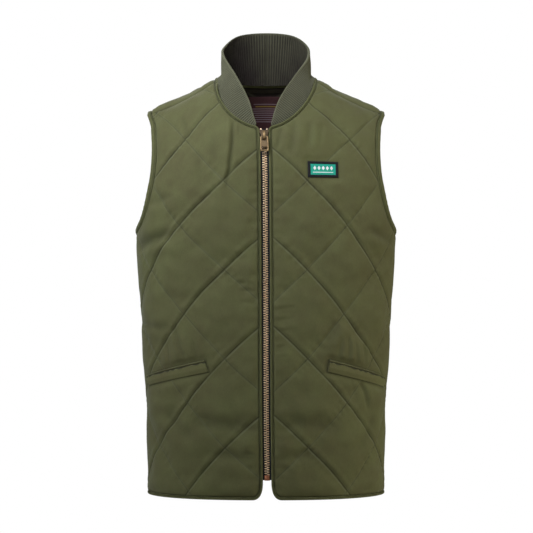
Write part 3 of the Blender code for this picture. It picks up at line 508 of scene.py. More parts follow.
def arm_edge(face):
    """Flat outer edge of the armhole from the shoulder to the side seam."""
    wide = ARM_FRONT if face == FRONT else ARM_BACK
    bottom = smooth(np.array(UNDERARM), LEVEL, HALF_WIDTH)
    skip = 1 if face == FRONT else 0
    levels = np.append(ARM_LEVEL[skip:], [UNDERARM + 0.0006, UNDERARM])
    wide = np.append(wide[skip:], [bottom - 0.0006, bottom])
    row = np.arange(len(levels), dtype=float)
    fine = np.linspace(0, len(levels) - 1, 160)
    line = lay_flat(face, smooth(fine, row, wide), smooth(fine, row, levels))
    line[-1, 0] = side_seam(UNDERARM)
    fall = np.linspace(SEAM_DROP, 0.0, 12)
    fall = fall[:1] if face == FRONT else fall
    tip = np.full(len(fall), ARM_TIP)
    start = lay_flat(face, tip, smooth(tip, RIDGE_X, RIDGE_Z) - fall, over=face == BACK)
    return stepped(np.concatenate([start, line]), ARM_STEP)


def arm_inner(face):
    """Flat edge of a panel along the armhole band, from the shoulder to the side seam."""
    line = moved_left(arm_edge(face), -(ARM_BAND + GAP))
    line[:, 0] = np.minimum(line[:, 0], side_seam(line[:, 1]) - GAP / 2)
    line[0, 1] -= GAP
    return line


def back_neck():
    """Flat neck edge of the back from the middle to the shoulder seam on the front."""
    behind = lay_flat(BACK, *neck_edge(BACK, np.linspace(math.pi / 2, 0.0, 50)))
    over = lay_flat(BACK, *neck_edge(FRONT, np.linspace(0.0, neck_seam_turn(), 20)[1:]), over=True)
    return stepped(np.concatenate([behind, over]), NECK_STEP)


def shoulder_line(face, first, last):
    """Flat shoulder seam between two pattern points, both included, following the ridge."""
    s = np.linspace(first[0], last[0], 40)
    half = smooth(np.array(-0.03), LEVEL, HALF_WIDTH)
    x = half * np.interp(np.abs(s) / half, AROUND, ROUND_X)
    fall = float(np.interp(SEAM_DROP, FALL[FRONT], DOWN[FRONT]))
    w = smooth(x, RIDGE_X, RIDGE_Z) + EXTRA[face] + (fall if face == BACK else -fall) - GAP
    line = np.stack([s, w], axis=1)
    line[0] = first
    line[-1] = last
    return line


def rising(low, high, below, above):
    """Rows of a grid's side: below of them along its low line and above along its high line."""
    return np.concatenate([evenly(low, below + 1)[:-1], evenly(high, above + 1)])


def ruled_grid(left, right, bottom, top):
    """Grid between four flat lines: both ruled surfaces added, less the flat surface of the corners."""
    v = np.linspace(0, 1, len(left))[:, None, None]
    u = np.linspace(0, 1, len(bottom))[None, :, None]
    sides = (1 - u) * left[:, None] + u * right[:, None]
    ends = (1 - v) * bottom[None] + v * top[None]
    corners = (1 - u) * (1 - v) * left[0] + u * (1 - v) * right[0] + (1 - u) * v * left[-1] + u * v * right[-1]
    return sides + ends - corners


def front_grid(cell):
    """Flat grid of a front: rows from the hem to the shoulder, columns from the front edge to the side."""
    hem, corner, edge, fillet, neck = front_lines()
    hem = hem.copy()
    hem[0, 0] -= GAP / 2
    arm = arm_inner(FRONT)[::-1]
    neck = neck.copy()
    neck[-1, 1] -= GAP
    middle = (FRONT_EDGE, arm[0, 1])
    levels = np.linspace(HEM, arm[0, 1], 60)
    side = np.stack([side_seam(levels) - GAP / 2, levels], axis=1)
    below = int((arm[0, 1] - HEM) / cell)
    above = int(ARM_LONG[FRONT] / cell)
    left = rising([edge[0], middle], np.concatenate([[middle], fillet, neck[1:]]), below, above)
    right = rising(side, arm, below, above)
    across = int(ACROSS_LONG[FRONT] / cell)
    bottom = evenly(np.concatenate([corner[::-1], hem[::-1][1:]]), across + 1)
    top = evenly(shoulder_line(FRONT, neck[-1], arm[-1]), across + 1)
    return ruled_grid(left, right, bottom, top)


def back_grid(cell):
    """Flat grid of the back: rows from the hem to the neck, columns from its right side to its left."""
    neck = back_neck()
    arm = arm_inner(BACK)[::-1]
    neck[-1, 1] -= GAP
    levels = np.linspace(HEM, arm[0, 1], 60)
    side = np.stack([side_seam(levels) + SEAM_UNDER, levels], axis=1)
    left = rising(side, arm, int((arm[0, 1] - HEM) / cell), int(ARM_LONG[BACK] / cell))
    half = int(ACROSS_LONG[BACK] / cell)
    top = np.concatenate([shoulder_line(BACK, neck[-1], arm[-1])[::-1], neck[::-1][1:]])
    top = evenly(top, half + 1)
    s = np.linspace(side[0, 0], 0.0, 81)
    bottom = evenly(np.stack([s, back_hem(s)], axis=1), half + 1)
    mirror = np.array([-1, 1])
    bottom = np.concatenate([bottom * mirror, bottom[-2::-1]])
    top = np.concatenate([top * mirror, top[-2::-1]])
    return ruled_grid(left * mirror, left, bottom, top)


def rim_of(grid):
    """Points round the edge of a grid, and their numbers in it."""
    rows, columns = grid.shape[:2]
    number = np.arange(rows * columns).reshape(rows, columns)
    loop = np.concatenate([number[0, :-1], number[:-1, -1], number[-1, :0:-1], number[:0:-1, 0]])
    return grid.reshape(-1, grid.shape[-1])[loop], loop


def distance_to(flat, loop, closed=True):
    """Distance from flat points of any grid to a flat line."""
    points = flat.reshape(-1, 2)
    start = loop if closed else loop[:-1]
    ahead = (np.roll(loop, -1, axis=0) if closed else loop[1:]) - start
    size = np.maximum((ahead ** 2).sum(-1), 1e-12)
    found = []
    for part in np.array_split(points, max(1, len(points) * len(start) // MOST_PAIRS)):
        away = part[:, None] - start[None]
        t = np.clip((away * ahead).sum(-1) / size, 0, 1)
        found.append(np.sqrt(((away - ahead * t[..., None]) ** 2).sum(-1).min(axis=1)))
    return np.concatenate(found).reshape(flat.shape[:-1])


def inside(flat, loop):
    """Whether each flat point is inside a closed flat line, by the number of crossings to its right."""
    points = flat.reshape(-1, 2)
    a = loop
    b = np.roll(loop, -1, axis=0)
    rise = np.where(b[:, 1] == a[:, 1], 1.0, b[:, 1] - a[:, 1])
    found = []
    for part in np.array_split(points, max(1, len(points) * len(a) // MOST_PAIRS)):
        high = (a[:, 1] > part[:, None, 1]) != (b[:, 1] > part[:, None, 1])
        cross = a[:, 0] + (part[:, None, 1] - a[:, 1]) * (b[:, 0] - a[:, 0]) / rise
        found.append((high & (part[:, None, 0] < cross)).sum(axis=1) % 2 == 1)
    return np.concatenate(found).reshape(flat.shape[:-1])


def eased(t):
    """A smooth step from 0 to 1: three t squared less two t cubed."""
    t = np.clip(t, 0.0, 1.0)
    return t * t * (3 - 2 * t)


def column_of(flat, name):
    """Column number p: read from the panel's columns, moved by their stray and by two slow waves."""
    s, w = flat[..., 0], flat[..., 1]
    reach = np.clip((np.abs(s) - STRAY_START) / STRAY_RUN, 0.0, 1.3)
    stray = reach * smooth(w, STRAY_LEVEL, STRAY[name])
    wave = 0.01 * np.sin(23 * s + 19 * w + 0.7) + 0.007 * np.sin(47 * w - 31 * s)
    return smooth(s - stray, QUILT[name], QUILT_COLUMN) + wave


def quilt_place(flat, name):
    """Number of the nearest line in both diagonal families, as ((p + q) / 2, (p - q) / 2)."""
    p = column_of(flat, name)
    q = (flat[..., 1] - QUILT_LEVEL) / QUILT_TALL
    return (p + q) / 2, (p - q) / 2


def fold_relief(flat, face, rows):
    """Creases: a valley of Gaussian section with a lower ridge beside it, fading to both ends."""
    relief = np.zeros(flat.shape[:-1])
    valley = np.zeros(flat.shape[:-1])
    for x0, z0, x1, z1, wide, deep, bow in MILLIMETRE * np.array(rows):
        ends = lay_flat(face, np.array([x0, x1]), np.array([z0, z1]))
        ahead = ends[1] - ends[0]
        reach = np.linalg.norm(ahead)
        away = flat - ends[0]
        t = (away @ ahead) / reach ** 2
        aside = (away[..., 1] * ahead[0] - away[..., 0] * ahead[1]) / reach - bow * 4 * t * (1 - t)
        fade = eased((t + 0.22) / 0.4) * eased((1.22 - t) / 0.4)
        relief += FOLD_GAIN * deep * fade * (0.55 * np.exp(-((aside - 1.8 * wide) / (1.3 * wide)) ** 2)
                                             - np.exp(-(aside / wide) ** 2))
        valley += fade * np.exp(-(aside / (0.8 * wide)) ** 2) * min(1.0, deep / 0.003)
    return relief, valley


def crumple_relief(flat, turn):
    """Slow crumples: bent waves of several lengths added up, all their directions turned for each panel."""
    relief = np.zeros(flat.shape[:-1])
    for length, angle, high, phase in CRUMPLES:
        ahead = flat @ np.array([math.cos(angle + turn), math.sin(angle + turn)])
        aside = flat @ np.array([math.sin(angle + turn), -math.cos(angle + turn)])
        bend = 1.3 * np.sin(2 * math.pi * aside / (2.7 * length) + 2 * phase)
        relief += high * np.sin(2 * math.pi * ahead / length + phase + bend)
    return relief


def calm_share(flat):
    """1 by the side seams, where the cloth lies smooth, falling to 0 towards the middle."""
    return eased((np.abs(flat[..., 0]) - side_seam(flat[..., 1]) + CALM_WIDE) / CALM_FADE)


def slow_relief(flat, face, name, edge):
    """Creases and crumples together, less by the edges and side seams. Also the creases' valleys, 0 to 1."""
    folds, valley = fold_relief(flat, face, FOLDS[name])
    return (folds + crumple_relief(flat, len(name))) * eased(edge / 0.01) * (1 - 0.7 * calm_share(flat)), valley


def line_numbers(flat, name):
    """Line numbers with the family that rises to the middle first, on both halves of the back too."""
    one, two = quilt_place(flat, name)
    across = np.abs(one + two) if name == "back" else one + two
    return (across + one - two) / 2, (across - one + two) / 2


def panel_relief(flat, face, name, sizes, pieces):
    """Outside of a panel over its form: domes between the sewn lines, puckers across them, crumples, creases and
    a roll down to each edge; flat under the pieces laid on it. Also its painted shade, 0 to 1: in the seam along
    each edge, in the seam round each laid piece and in the creases' valleys."""
    one, two = line_numbers(flat, name)
    outline, _ = rim_of(flat)
    edge = distance_to(flat, outline)
    fade = np.clip(edge / EDGE_FADE, 0, 1)
    s, w = flat[..., 0], flat[..., 1]
    uneven = 1 + 0.13 * np.sin(21 * s + 9 * w + 1.3) + 0.1 * np.sin(37 * w - 13 * s)
    calm = calm_share(flat)
    uneven = uneven * (1 - 0.45 * calm)
    dome = np.abs(np.sin(math.pi * one) * np.sin(math.pi * two)) ** PUFF_POWER
    lift = sizes.thickness + sizes.puff * dome * fade * (2 - fade) * uneven
    # Painted shade in the seam along each edge of the panel
    seam = 0.75 * np.exp(-(edge / SEAM_WIDE) ** 2)
    for line, along in ((one, two), (two, one)):
        away = np.abs(line - np.round(line)) * QUILT_APART
        near = np.exp(-((away - 0.004) / 0.006) ** 2)
        pull = np.sin(2 * math.pi * along * QUILT_RUN / LINE_PUCKER[1] + 2.2 * np.sin(along * QUILT_RUN * 61)
                      + 3 * np.round(line))
        lift += LINE_PUCKER[0] * near * pull * (0.6 + 0.4 * np.sin(along * QUILT_RUN * 37 + np.round(line)))
    for line, sag in ((one, SAG_STRONG), (-two, SAG_WEAK)):
        above = (line - np.round(line)) * QUILT_APART
        lift += sag * fade * (1 - 0.4 * calm) * (np.exp(-((above - 0.0058) / 0.0045) ** 2)
                                                 - 0.45 * np.exp(-((above + 0.008) / 0.007) ** 2))
    slow, valley = slow_relief(flat, face, name, edge)
    lift += slow
    if face == FRONT:
        by_edge = np.exp(-np.maximum(s - FRONT_EDGE, 0) / 0.011) * (w < -0.11)
        wave = np.sin(2 * math.pi * w / EDGE_PUCKER[1] + 2.5 * np.sin(31 * w))
        lift += EDGE_PUCKER[0] * by_edge * wave * eased(edge / PUCKER_REACH)
    by_hem = np.exp(-(w - HEM) / 0.01)
    wave = np.sin(2 * math.pi * s / HEM_PUCKER[1] + 2.1 * np.sin(27 * s))
    lift += HEM_PUCKER[0] * by_hem * wave * eased(edge / PUCKER_REACH)
    for piece in pieces:
        away = np.where(inside(flat, piece), 0.0, distance_to(flat, piece))
        open_share = eased((away - PRESS_START) / PRESS_FADE)
        lift = open_share * lift + (1 - open_share) * (sizes.thickness + PRESSED)
        # Painted shade in the seam round the laid piece
        seam = np.maximum(seam * open_share, 0.9 * np.exp(-(away / PRESS_SEAM) ** 2))
    roll = np.clip(edge / EDGE_ROLL, 0, 1)
    lift = np.maximum(lift, LOWEST) * (0.55 + 0.45 * np.sqrt(1 - (1 - roll) ** 2))
    # Painted shade, at half strength in the creases' valleys
    return lift, np.clip(np.maximum(seam, 0.5 * valley), 0, 1)


def quads(rows, columns, close_rows=False, close_columns=False):
    """Faces of a grid of points numbered row by row."""
    k, m = np.meshgrid(np.arange(rows if close_rows else rows - 1),
                       np.arange(columns if close_columns else columns - 1), indexing="ij")
    above = (k + 1) % rows * columns
    ahead = (m + 1) % columns
    return np.stack([k * columns + m, k * columns + ahead, above + ahead, above + m], axis=-1).reshape(-1, 4)


def outward(points, faces):
    """The faces, all turned round if they enclose a negative volume."""
    corner = points[faces]
    volume = (corner[:, 0] * np.cross(corner[:, 1], corner[:, 2])).sum()
    if faces.shape[1] == 4:
        volume += (corner[:, 0] * np.cross(corner[:, 2], corner[:, 3])).sum()
    return faces[:, ::-1] if volume < 0 else faces


def shell(outer, inner):
    """A closed wall from two grids of one size, with a strip round the rim. Faces of the inside get slot 1."""
    rows, columns = outer.shape[:2]
    count = rows * columns
    skin = quads(rows, columns)
    _, loop = rim_of(outer)
    ahead = np.roll(loop, -1)
    strip = np.stack([ahead, loop, loop + count, ahead + count], axis=1)
    points = np.concatenate([outer.reshape(-1, 3), inner.reshape(-1, 3)])
    faces = np.concatenate([skin, skin[:, ::-1] + count, strip])
    slots = np.concatenate([np.zeros(len(skin), int), np.ones(len(skin), int), np.zeros(len(strip), int)])
    return points, outward(points, faces), slots


def carried(rings, closed=False):
    """A profile carried along a path: rings of points joined in order, with both ends filled unless closed."""
    count, sides = rings.shape[:2]
    points = rings.reshape(-1, 3)
    faces = quads(count, sides, close_rows=closed, close_columns=True)
    if not closed:
        centres = np.stack([rings[0].mean(axis=0), rings[-1].mean(axis=0)])
        first = np.arange(sides)
        after = np.roll(first, -1)
        last = (count - 1) * sides
        hub = np.full(sides, len(points))
        caps = np.concatenate([np.stack([after, first, hub, hub], axis=1),
                               np.stack([first + last, after + last, hub + 1, hub + 1], axis=1)])
        points = np.concatenate([points, centres])
        faces = np.concatenate([faces, caps])
    return points, outward(points, faces)


def hang_aside(points):
    """The points with the middle of the front moved aside by level, less towards the sides, not at all behind."""
    share = eased((LEAN_WIDE - np.abs(points[:, 0])) / LEAN_FADE)
    share = share * eased((-points[:, 1] - LEAN_START) / LEAN_DEEP)
    return points + np.array([1.0, 0.0, 0.0]) * (share * smooth(points[:, 2], LEAN_LEVEL, LEAN_ASIDE))[:, None]


def add_piece(name, points, faces, finishes, node=None, body=BODY, slots=None, cloth=None, shade=None,
              sharp=45, quilt=None, aside=True):
    """Puts arrays into a mesh object that rides on a body and stands for a node, with its finishes as material
    slots. A quad that repeats a point is a triangle."""
    mesh = bpy.data.meshes.new(name)
    points = hang_aside(points) if aside else points
    rows = faces.tolist()
    if faces.shape[1] == 4 and (faces[:, 2] == faces[:, 3]).any() or (faces[:, 0] == faces[:, 1]).any():
        rows = [list(dict.fromkeys(row)) for row in rows]
    mesh.from_pydata(points.tolist(), [], rows)
    for look in finishes:
        mesh.materials.append(finish(look))
    if slots is not None:
        mesh.polygons.foreach_set("material_index", slots.astype(np.int32))
    mesh.polygons.foreach_set("use_smooth", np.ones(len(mesh.polygons), bool))
    corner = np.empty(len(mesh.loops), np.int32)
    mesh.loops.foreach_get("vertex_index", corner)
    for label, place in (("cloth", cloth), ("quilt", quilt)):
        if place is not None:
            layer = mesh.uv_layers.new(name=label)
            layer.data.foreach_set("uv", place.reshape(-1, 2)[corner].astype(np.float32).ravel())
    if shade is not None:
        layer = mesh.attributes.new("shade", "FLOAT", "POINT")
        layer.data.foreach_set("value", shade.astype(np.float32).ravel())
    mesh.update()
    mesh.set_sharp_from_angle(angle=math.radians(sharp))
    piece = bpy.data.objects.new(name, mesh)
    bpy.context.scene.collection.objects.link(piece)
    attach(piece, body)
    if node:
        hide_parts(node)


def both_sides(rows):
    """Values for the outside of a wall, once more for its inside."""
    return np.concatenate([rows.reshape(-1, 2)] * 2)


def bare_inside(shade):
    """Shades for the outside of a wall, none for its inside."""
    return np.concatenate([shade.ravel(), np.zeros(shade.size)])


def mirrored(points, hand):
    """The points on the right or the left half."""
    return points * np.array([hand, 1, 1])


def flat_area(grid):
    """Area inside a flat grid's rim."""
    loop, _ = rim_of(grid)
    after = np.roll(loop, -1, axis=0)
    return abs((loop[:, 0] * after[:, 1] - loop[:, 1] * after[:, 0]).sum()) / 2


def flat_size(grid):
    """Width and height of a flat grid."""
    size = grid.reshape(-1, 2).max(axis=0) - grid.reshape(-1, 2).min(axis=0)
    return float(size[0]), float(size[1])


def threads(name, centre, ahead, out, long, wide=0.0007):
    """Stitches: at each centre a spindle along ahead, of four-sided section, lying on the cloth."""
    ahead = unit(ahead)
    out = unit(out - ahead * (out * ahead).sum(-1, keepdims=True))
    aside = np.cross(out, ahead)
    ring = np.array([(0, 0.5), (0.5, 0.0), (0, -0.5), (-0.5, 0.0)])
    rings = [(end, *corner) for end in (-0.28, 0.28) for corner in ring]
    place = np.array([(-0.5, 0, -0.4), *rings, (0.5, 0, -0.4)])
    axes = np.stack([ahead * long, aside * wide, out * wide], axis=1)
    points = centre[:, None] + np.einsum("vk,nkc->nvc", place, axes)
    turn = np.arange(4)
    after = (turn + 1) % 4
    tips = np.concatenate([np.stack([np.zeros(4, int), 1 + turn, 1 + after, 1 + after], axis=1),
                           np.stack([1 + turn, 5 + turn, 5 + after, 1 + after], axis=1),
                           np.stack([np.full(4, 9), 5 + after, 5 + turn, 5 + turn], axis=1)])
    faces = (np.arange(len(centre))[:, None, None] * 10 + tips).reshape(-1, 4)
    points = points.reshape(-1, 3)
    add_piece(name, points, outward(points, faces), ["olive_thread"])


def welt_corners(side):
    """Pattern points of a welt's corners."""
    corners = np.array(WELTS[side])
    return lay_flat(FRONT, corners[:, 0], corners[:, 1])


def welt_loop(side):
    """Flat line round a welt."""
    corners = welt_corners(side)
    edges = zip(corners, np.roll(corners, -1, axis=0))
    return np.concatenate([evenly(np.array(edge), 12)[:-1] for edge in edges])


def patch_loop():
    """Flat line round the chest patch."""
    middle = lay_flat(FRONT, *PATCH_MIDDLE)
    return middle + np.array(PATCH_SIZE) / 2 * np.array([(-1, 1), (1, 1), (1, -1), (-1, -1)])


def front_pieces(side):
    """Flat lines round what is laid on a front."""
    return [welt_loop(side)] + ([patch_loop()] if side == "left" else [])


class Wire:
    """A value in a node tree: sums, products and quotients of wires and numbers become Math nodes."""

    def __init__(self, tree, socket):
        self.tree = tree
        self.socket = socket

    def math(self, operation, *others):
        made = self.tree.nodes.new("ShaderNodeMath")
        made.operation = operation
        for place, value in enumerate((self, *others)):
            put(self.tree, value, made.inputs[place])
        return Wire(self.tree, made.outputs[0])

    def __add__(self, other):
        return self.math("ADD", other)

    def __sub__(self, other):
        return self.math("SUBTRACT", other)

    def __rsub__(self, other):
        return self.math("MULTIPLY_ADD", -1.0, other)

    def __mul__(self, other):
        return self.math("MULTIPLY", other)

    def __truediv__(self, other):
        return self.math("DIVIDE", other)

    def __abs__(self):
        return self.math("ABSOLUTE")

    def limited(self):
        return self.math("MAXIMUM", 0.0).math("MINIMUM", 1.0)


def put(tree, value, socket):
    """Links a wire to a socket, or sets the socket to a plain number or colour."""
    if isinstance(value, Wire):
        tree.links.new(value.socket, socket)
    elif isinstance(value, (int, float)):
        socket.default_value = value
    else:
        socket.default_value = (*value[:3], 1.0)


def blended(share, first, second):
    """A colour between two colours, given as wires or plain colours."""
    made = share.tree.nodes.new("ShaderNodeMix")
    made.data_type = "RGBA"
    for place, value in ((0, share), (6, first), (7, second)):
        put(share.tree, value, made.inputs[place])
    return Wire(share.tree, made.outputs[2])


def noise(tree, scale, detail=3.0, stretch=(1, 1, 1)):
    """Noise on Object coordinates, stretched along each axis."""
    place = tree.nodes.new("ShaderNodeTexCoord")
    mapping = tree.nodes.new("ShaderNodeMapping")
    mapping.inputs["Scale"].default_value = stretch
    made = tree.nodes.new("ShaderNodeTexNoise")
    made.inputs["Scale"].default_value = scale
    made.inputs["Detail"].default_value = detail
    tree.links.new(place.outputs["Object"], mapping.inputs["Vector"])
    tree.links.new(mapping.outputs["Vector"], made.inputs["Vector"])
    return Wire(tree, made.outputs["Fac"])


def shade_of(tree):
    """Painted shade of each point, from the mesh's shade attribute."""
    made = tree.nodes.new("ShaderNodeAttribute")
    made.attribute_name = "shade"
    return Wire(tree, made.outputs["Fac"])


def cloth_place(tree, name="cloth"):
    """The two coordinates of one of the piece's own maps: cloth is in metres, quilt in line numbers."""
    made = tree.nodes.new("ShaderNodeUVMap")
    made.uv_map = name
    parts = tree.nodes.new("ShaderNodeSeparateXYZ")
    tree.links.new(made.outputs["UV"], parts.inputs[0])
    return Wire(tree, parts.outputs[0]), Wire(tree, parts.outputs[1])


def new_group(name, *numbers):
    """An empty finish group with two colours and some numbers going in. Gives its tree and what goes in."""
    tree = bpy.data.node_groups.new(name, "ShaderNodeTree")
    for label in ("Colour", "Shade"):
        tree.interface.new_socket(label, in_out="INPUT", socket_type="NodeSocketColor")
    for label in numbers:
        tree.interface.new_socket(label, in_out="INPUT", socket_type="NodeSocketFloat")
    for label, kind in (("Colour", "Color"), ("Roughness", "Float"), ("Height", "Float")):
        tree.interface.new_socket(label, in_out="OUTPUT", socket_type="NodeSocket" + kind)
    given = tree.nodes.new("NodeGroupInput").outputs
    return tree, {socket.name: Wire(tree, socket) for socket in given}


def closed_group(tree, colour, roughness, height):
    """Links what a finish group gives to its output."""
    out = tree.nodes.new("NodeGroupOutput").inputs
    for label, value in (("Colour", colour), ("Roughness", roughness), ("Height", height)):
        put(tree, value, out[label])
    return tree


def brushed_group(name):
    """Brushed cotton: broad and small mottling between two colours, a short nap, a twill line, painted shade in
    seams, crease valleys and grooves from the mesh's shade attribute, and along the quilting lines, whose numbers
    the map named quilt holds, a bumped groove with a painted shadow line in it, strongest on the family that
    rises to the middle, a painted highlight as a pale crest just below those lines, and pale painted strips
    along the other family."""
    tree, given = new_group(name, "Seam", "Lines", "Weak")
    middle = noise(tree, 34.0, 4.0)
    mottle = noise(tree, 120.0, 5.0, (1.0, 1.0, 0.6))
    nap = noise(tree, 900.0, 2.0, (1.0, 1.0, 0.35))
    share = (noise(tree, 7.0) + mottle * 0.6 + middle * 1.3 - 0.95).limited()
    thin, soft, crest = [], [], []
    for number in cloth_place(tree, "quilt"):
        above = ((number + 100.5).math("FRACT") - 0.5) * QUILT_APART
        away = abs(above)
        near = ((away - 0.005) / -0.005).limited()
        thin.append(((away - 0.0013) / -0.0009).limited())
        soft.append(near * near)
        crest.append(((abs(above + 0.0023) - 0.0015) / -0.0011).limited())
    patchy = middle * 1.1 + 0.1
    # Painted shadow: a thin dark line in each quilting groove, with a soft dark band on the rising family
    strong = (thin[0] * patchy + soft[0] * 0.12) * given["Lines"]
    weak = thin[1] * patchy * given["Weak"]
    # Painted shade from the mesh's shade attribute, joined with the painted shadow lines
    deep = (shade_of(tree) * given["Seam"]).math("MAXIMUM", strong.math("MAXIMUM", weak))
    # Painted highlight: pale strips along the other family, and a pale crest just below each rising line
    pale = soft[1] * (1.0 - middle) * given["Weak"] * 0.9
    pale = pale.math("MAXIMUM", crest[0] * patchy * given["Lines"] * 0.75)
    # Mottled tone, then the painted highlight, then the painted shade and shadow lines near black
    colour = blended(share, given["Colour"], given["Shade"])
    colour = blended(pale, colour, (0.17, 0.18, 0.1))
    colour = blended(deep, colour, (0.018, 0.018, 0.01))
    napped = tree.nodes.new("ShaderNodeVectorMath")
    napped.operation = "SCALE"
    put(tree, colour, napped.inputs[0])
    put(tree, nap * 0.36 + 0.82, napped.inputs["Scale"])
    s, w = cloth_place(tree)
    twill = ((s + w) * (2 * math.pi / 0.0011)).math("SINE")
    sunk = (thin[0] * 0.7 + soft[0]) * given["Lines"] + (thin[1] * 0.7 + soft[1]) * given["Weak"]
    height = twill * 0.12 + mottle * 0.8 + nap - sunk * 1.6
    return closed_group(tree, Wire(tree, napped.outputs[0]), nap * 0.16 + 0.78, height)


def knit_group(name):
    """Rib knit: painted shade between ribs and on the inside, from the mesh's shade attribute, small stacked
    stitches along each rib and a little fluff.
    """
    tree, given = new_group(name)
    rib, tall = cloth_place(tree)
    lean = abs(rib.math("FRACT") - 0.5)
    stitch = (tall * (2 * math.pi / 0.0021) + lean * 7.0).math("SINE")
    fluff = noise(tree, 700.0)
    share = (shade_of(tree) + stitch * -0.08 + noise(tree, 40.0) * 0.25 - 0.08).limited()
    return closed_group(tree, blended(share, given["Colour"], given["Shade"]), fluff * 0.14 + 0.8,
                        stitch * 0.35 + fluff)


def weave_group(name):
    """Woven tape: a herringbone whose lean turns every few millimetres, between two colours."""
    tree, given = new_group(name, "Pitch")
    s, w = cloth_place(tree)
    thread = ((w + s.math("PINGPONG", 0.0022)) / given["Pitch"] * (2 * math.pi)).math("SINE")
    share = (thread * 0.35 + noise(tree, 250.0) * 0.9).limited()
    return closed_group(tree, blended(share, given["Colour"], given["Shade"]), thread * -0.06 + 0.74, thread)


def metal_group(name):
    """Brass with wear: tarnish in soft clouds, bright rubbed specks and fine scratches, and near black where the
    mesh's shade attribute says: painted shade, partly tarnish.
    """
    tree, given = new_group(name)
    scratch = noise(tree, 1500.0, 2.0, (1.0, 1.0, 0.12))
    share = (noise(tree, 260.0, 4.0) * 1.5 - 0.45).limited()
    colour = blended(share, given["Colour"], given["Shade"])
    # Painted shade, partly tarnish, from the mesh's shade attribute
    colour = blended(shade_of(tree), colour, (0.022, 0.015, 0.009))
    return closed_group(tree, colour, share * 0.16 + scratch * 0.14 + 0.24, scratch)


GROUPS = {"brushed_cotton": brushed_group, "rib_knit": knit_group, "woven_tape": weave_group,
          "rubbed_metal": metal_group}
PLAIN = (0.0, 0.0, (1, 1, 1))


def scaled(colour, by):
    """A lighter or darker colour."""
    return tuple(by * part for part in colour)


def finish_rows(cloth, metal):
    """A row for each finish: group, its two colours, its numbers, strength and depth of the bump, metallic share,
    sheen and the tint of the sheen."""
    band = cloth.band
    nap = (0.78, 0.86, 0.74)
    cotton, tape, brass = "brushed_cotton", "woven_tape", "rubbed_metal"
    return {
        "brushed_olive": (cotton, cloth.olive, (0.088, 0.083, 0.034), {"Seam": 0.55, "Lines": 0.75, "Weak": 0.45},
                          0.4, 0.0006, 0.0, 0.09, nap),
        "band_olive": (cotton, band, scaled(band, 0.78), {"Seam": 0.8}, 0.3, 0.0004, 0.0, 0.06, (0.75, 0.8, 0.6)),
        # Welts: the shell cloth made lighter, painted light
        "welt_cloth": (cotton, scaled(cloth.olive, 1.16), (0.108, 0.1, 0.042), {"Seam": 0.85},
                       0.4, 0.0005, 0.0, 0.08, nap),
        # Lining near black: painted shade for the shadowed inside of the garment
        "lining_painted_shade": (cotton, (0.016, 0.011, 0.008), (0.01, 0.007, 0.005),
                              {"Seam": 0.5, "Lines": 0.5, "Weak": 0.5}, 0.15, 0.0003, *PLAIN),
        # Near-black second colour: the colour of the knit's painted shade
        "olive_rib_knit": ("rib_knit", cloth.knit, (0.0105, 0.0074, 0.0052), {}, 0.35, 0.0004,
                           0.0, 0.06, (0.8, 0.8, 0.65)),
        # Thread darker than the band: painted shade, to blend with the painted shadow in the grooves
        "olive_thread": (tape, scaled(band, 0.75), scaled(band, 0.4), {"Pitch": 0.0006}, 0.2, 0.0001, *PLAIN),
        "zip_tape_weave": (tape, scaled(metal.tape, 1.6), scaled(metal.tape, 0.7), {"Pitch": 0.0009},
                           0.4, 0.0002, *PLAIN),
        "badge_weave": (tape, (0.02, 0.43, 0.3), (0.012, 0.3, 0.21), {"Pitch": 0.0007}, 0.5, 0.0002, *PLAIN),
        "label_weave": (tape, (0.075, 0.03, 0.03), (0.045, 0.018, 0.02), {"Pitch": 0.0006}, 0.3, 0.0001, *PLAIN),
        # Neck tape near black: painted shade for the shadowed inside of the back neck
        "neck_tape_painted_shade_twill": (tape, (0.026, 0.022, 0.011), (0.012, 0.009, 0.005), {"Pitch": 0.001},
                            0.4, 0.0002, *PLAIN),
        "rubbed_brass": (brass, scaled(metal.brass, 0.58), (0.11, 0.075, 0.037), {}, 0.1, 0.0001, 0.8, *PLAIN[1:]),
        "rim_brass": (brass, scaled(metal.brass, 0.8), (0.17, 0.115, 0.055), {}, 0.1, 0.0001, 0.8, *PLAIN[1:]),
        "tooth_copper": (brass, (1.0, 0.79, 0.5), (0.74, 0.46, 0.27), {}, 0.1, 0.0001, 0.5, *PLAIN[1:]),
        "stop_copper": (brass, (0.5, 0.21, 0.11), (0.3, 0.12, 0.06), {}, 0.1, 0.0001, 0.7, *PLAIN[1:]),
    }


def finish(name):
    """The material of a row of finish_rows, made once: its group's colour, roughness and height go to one shader."""
    made = bpy.data.materials.get(name)
    if made:
        return made
    scene = bpy.context.scene
    rows = finish_rows(scene.gilet_cloth, scene.gilet_zip)
    group, colour, shade, numbers, bump, deep, metallic, sheen, tint = rows[name]
    made = bpy.data.materials.new(name)
    made.use_nodes = True
    tree = made.node_tree
    source = tree.nodes.new("ShaderNodeGroup")
    source.node_tree = bpy.data.node_groups.get(group) or GROUPS[group](group)
    for label, value in {"Colour": colour, "Shade": shade, **numbers}.items():
        put(tree, value, source.inputs[label])
    raised = tree.nodes.new("ShaderNodeBump")
    raised.inputs["Strength"].default_value = bump
    raised.inputs["Distance"].default_value = deep
    tree.links.new(source.outputs["Height"], raised.inputs["Height"])
    shader = tree.nodes["Principled BSDF"].inputs
    for label, value in (("Normal", raised.outputs["Normal"]), ("Base Color", source.outputs["Colour"]),
                         ("Roughness", source.outputs["Roughness"])):
        tree.links.new(value, shader[label])
    for label, value in (("Metallic", metallic), ("Specular IOR Level", 0.5 if metallic else 0.22),
                         ("Sheen Weight", sheen), ("Sheen Roughness", 0.45), ("Sheen Tint", tint)):
        put(tree, value, shader[label])
    made.diffuse_color = (*colour[:3], 1.0)
    return made


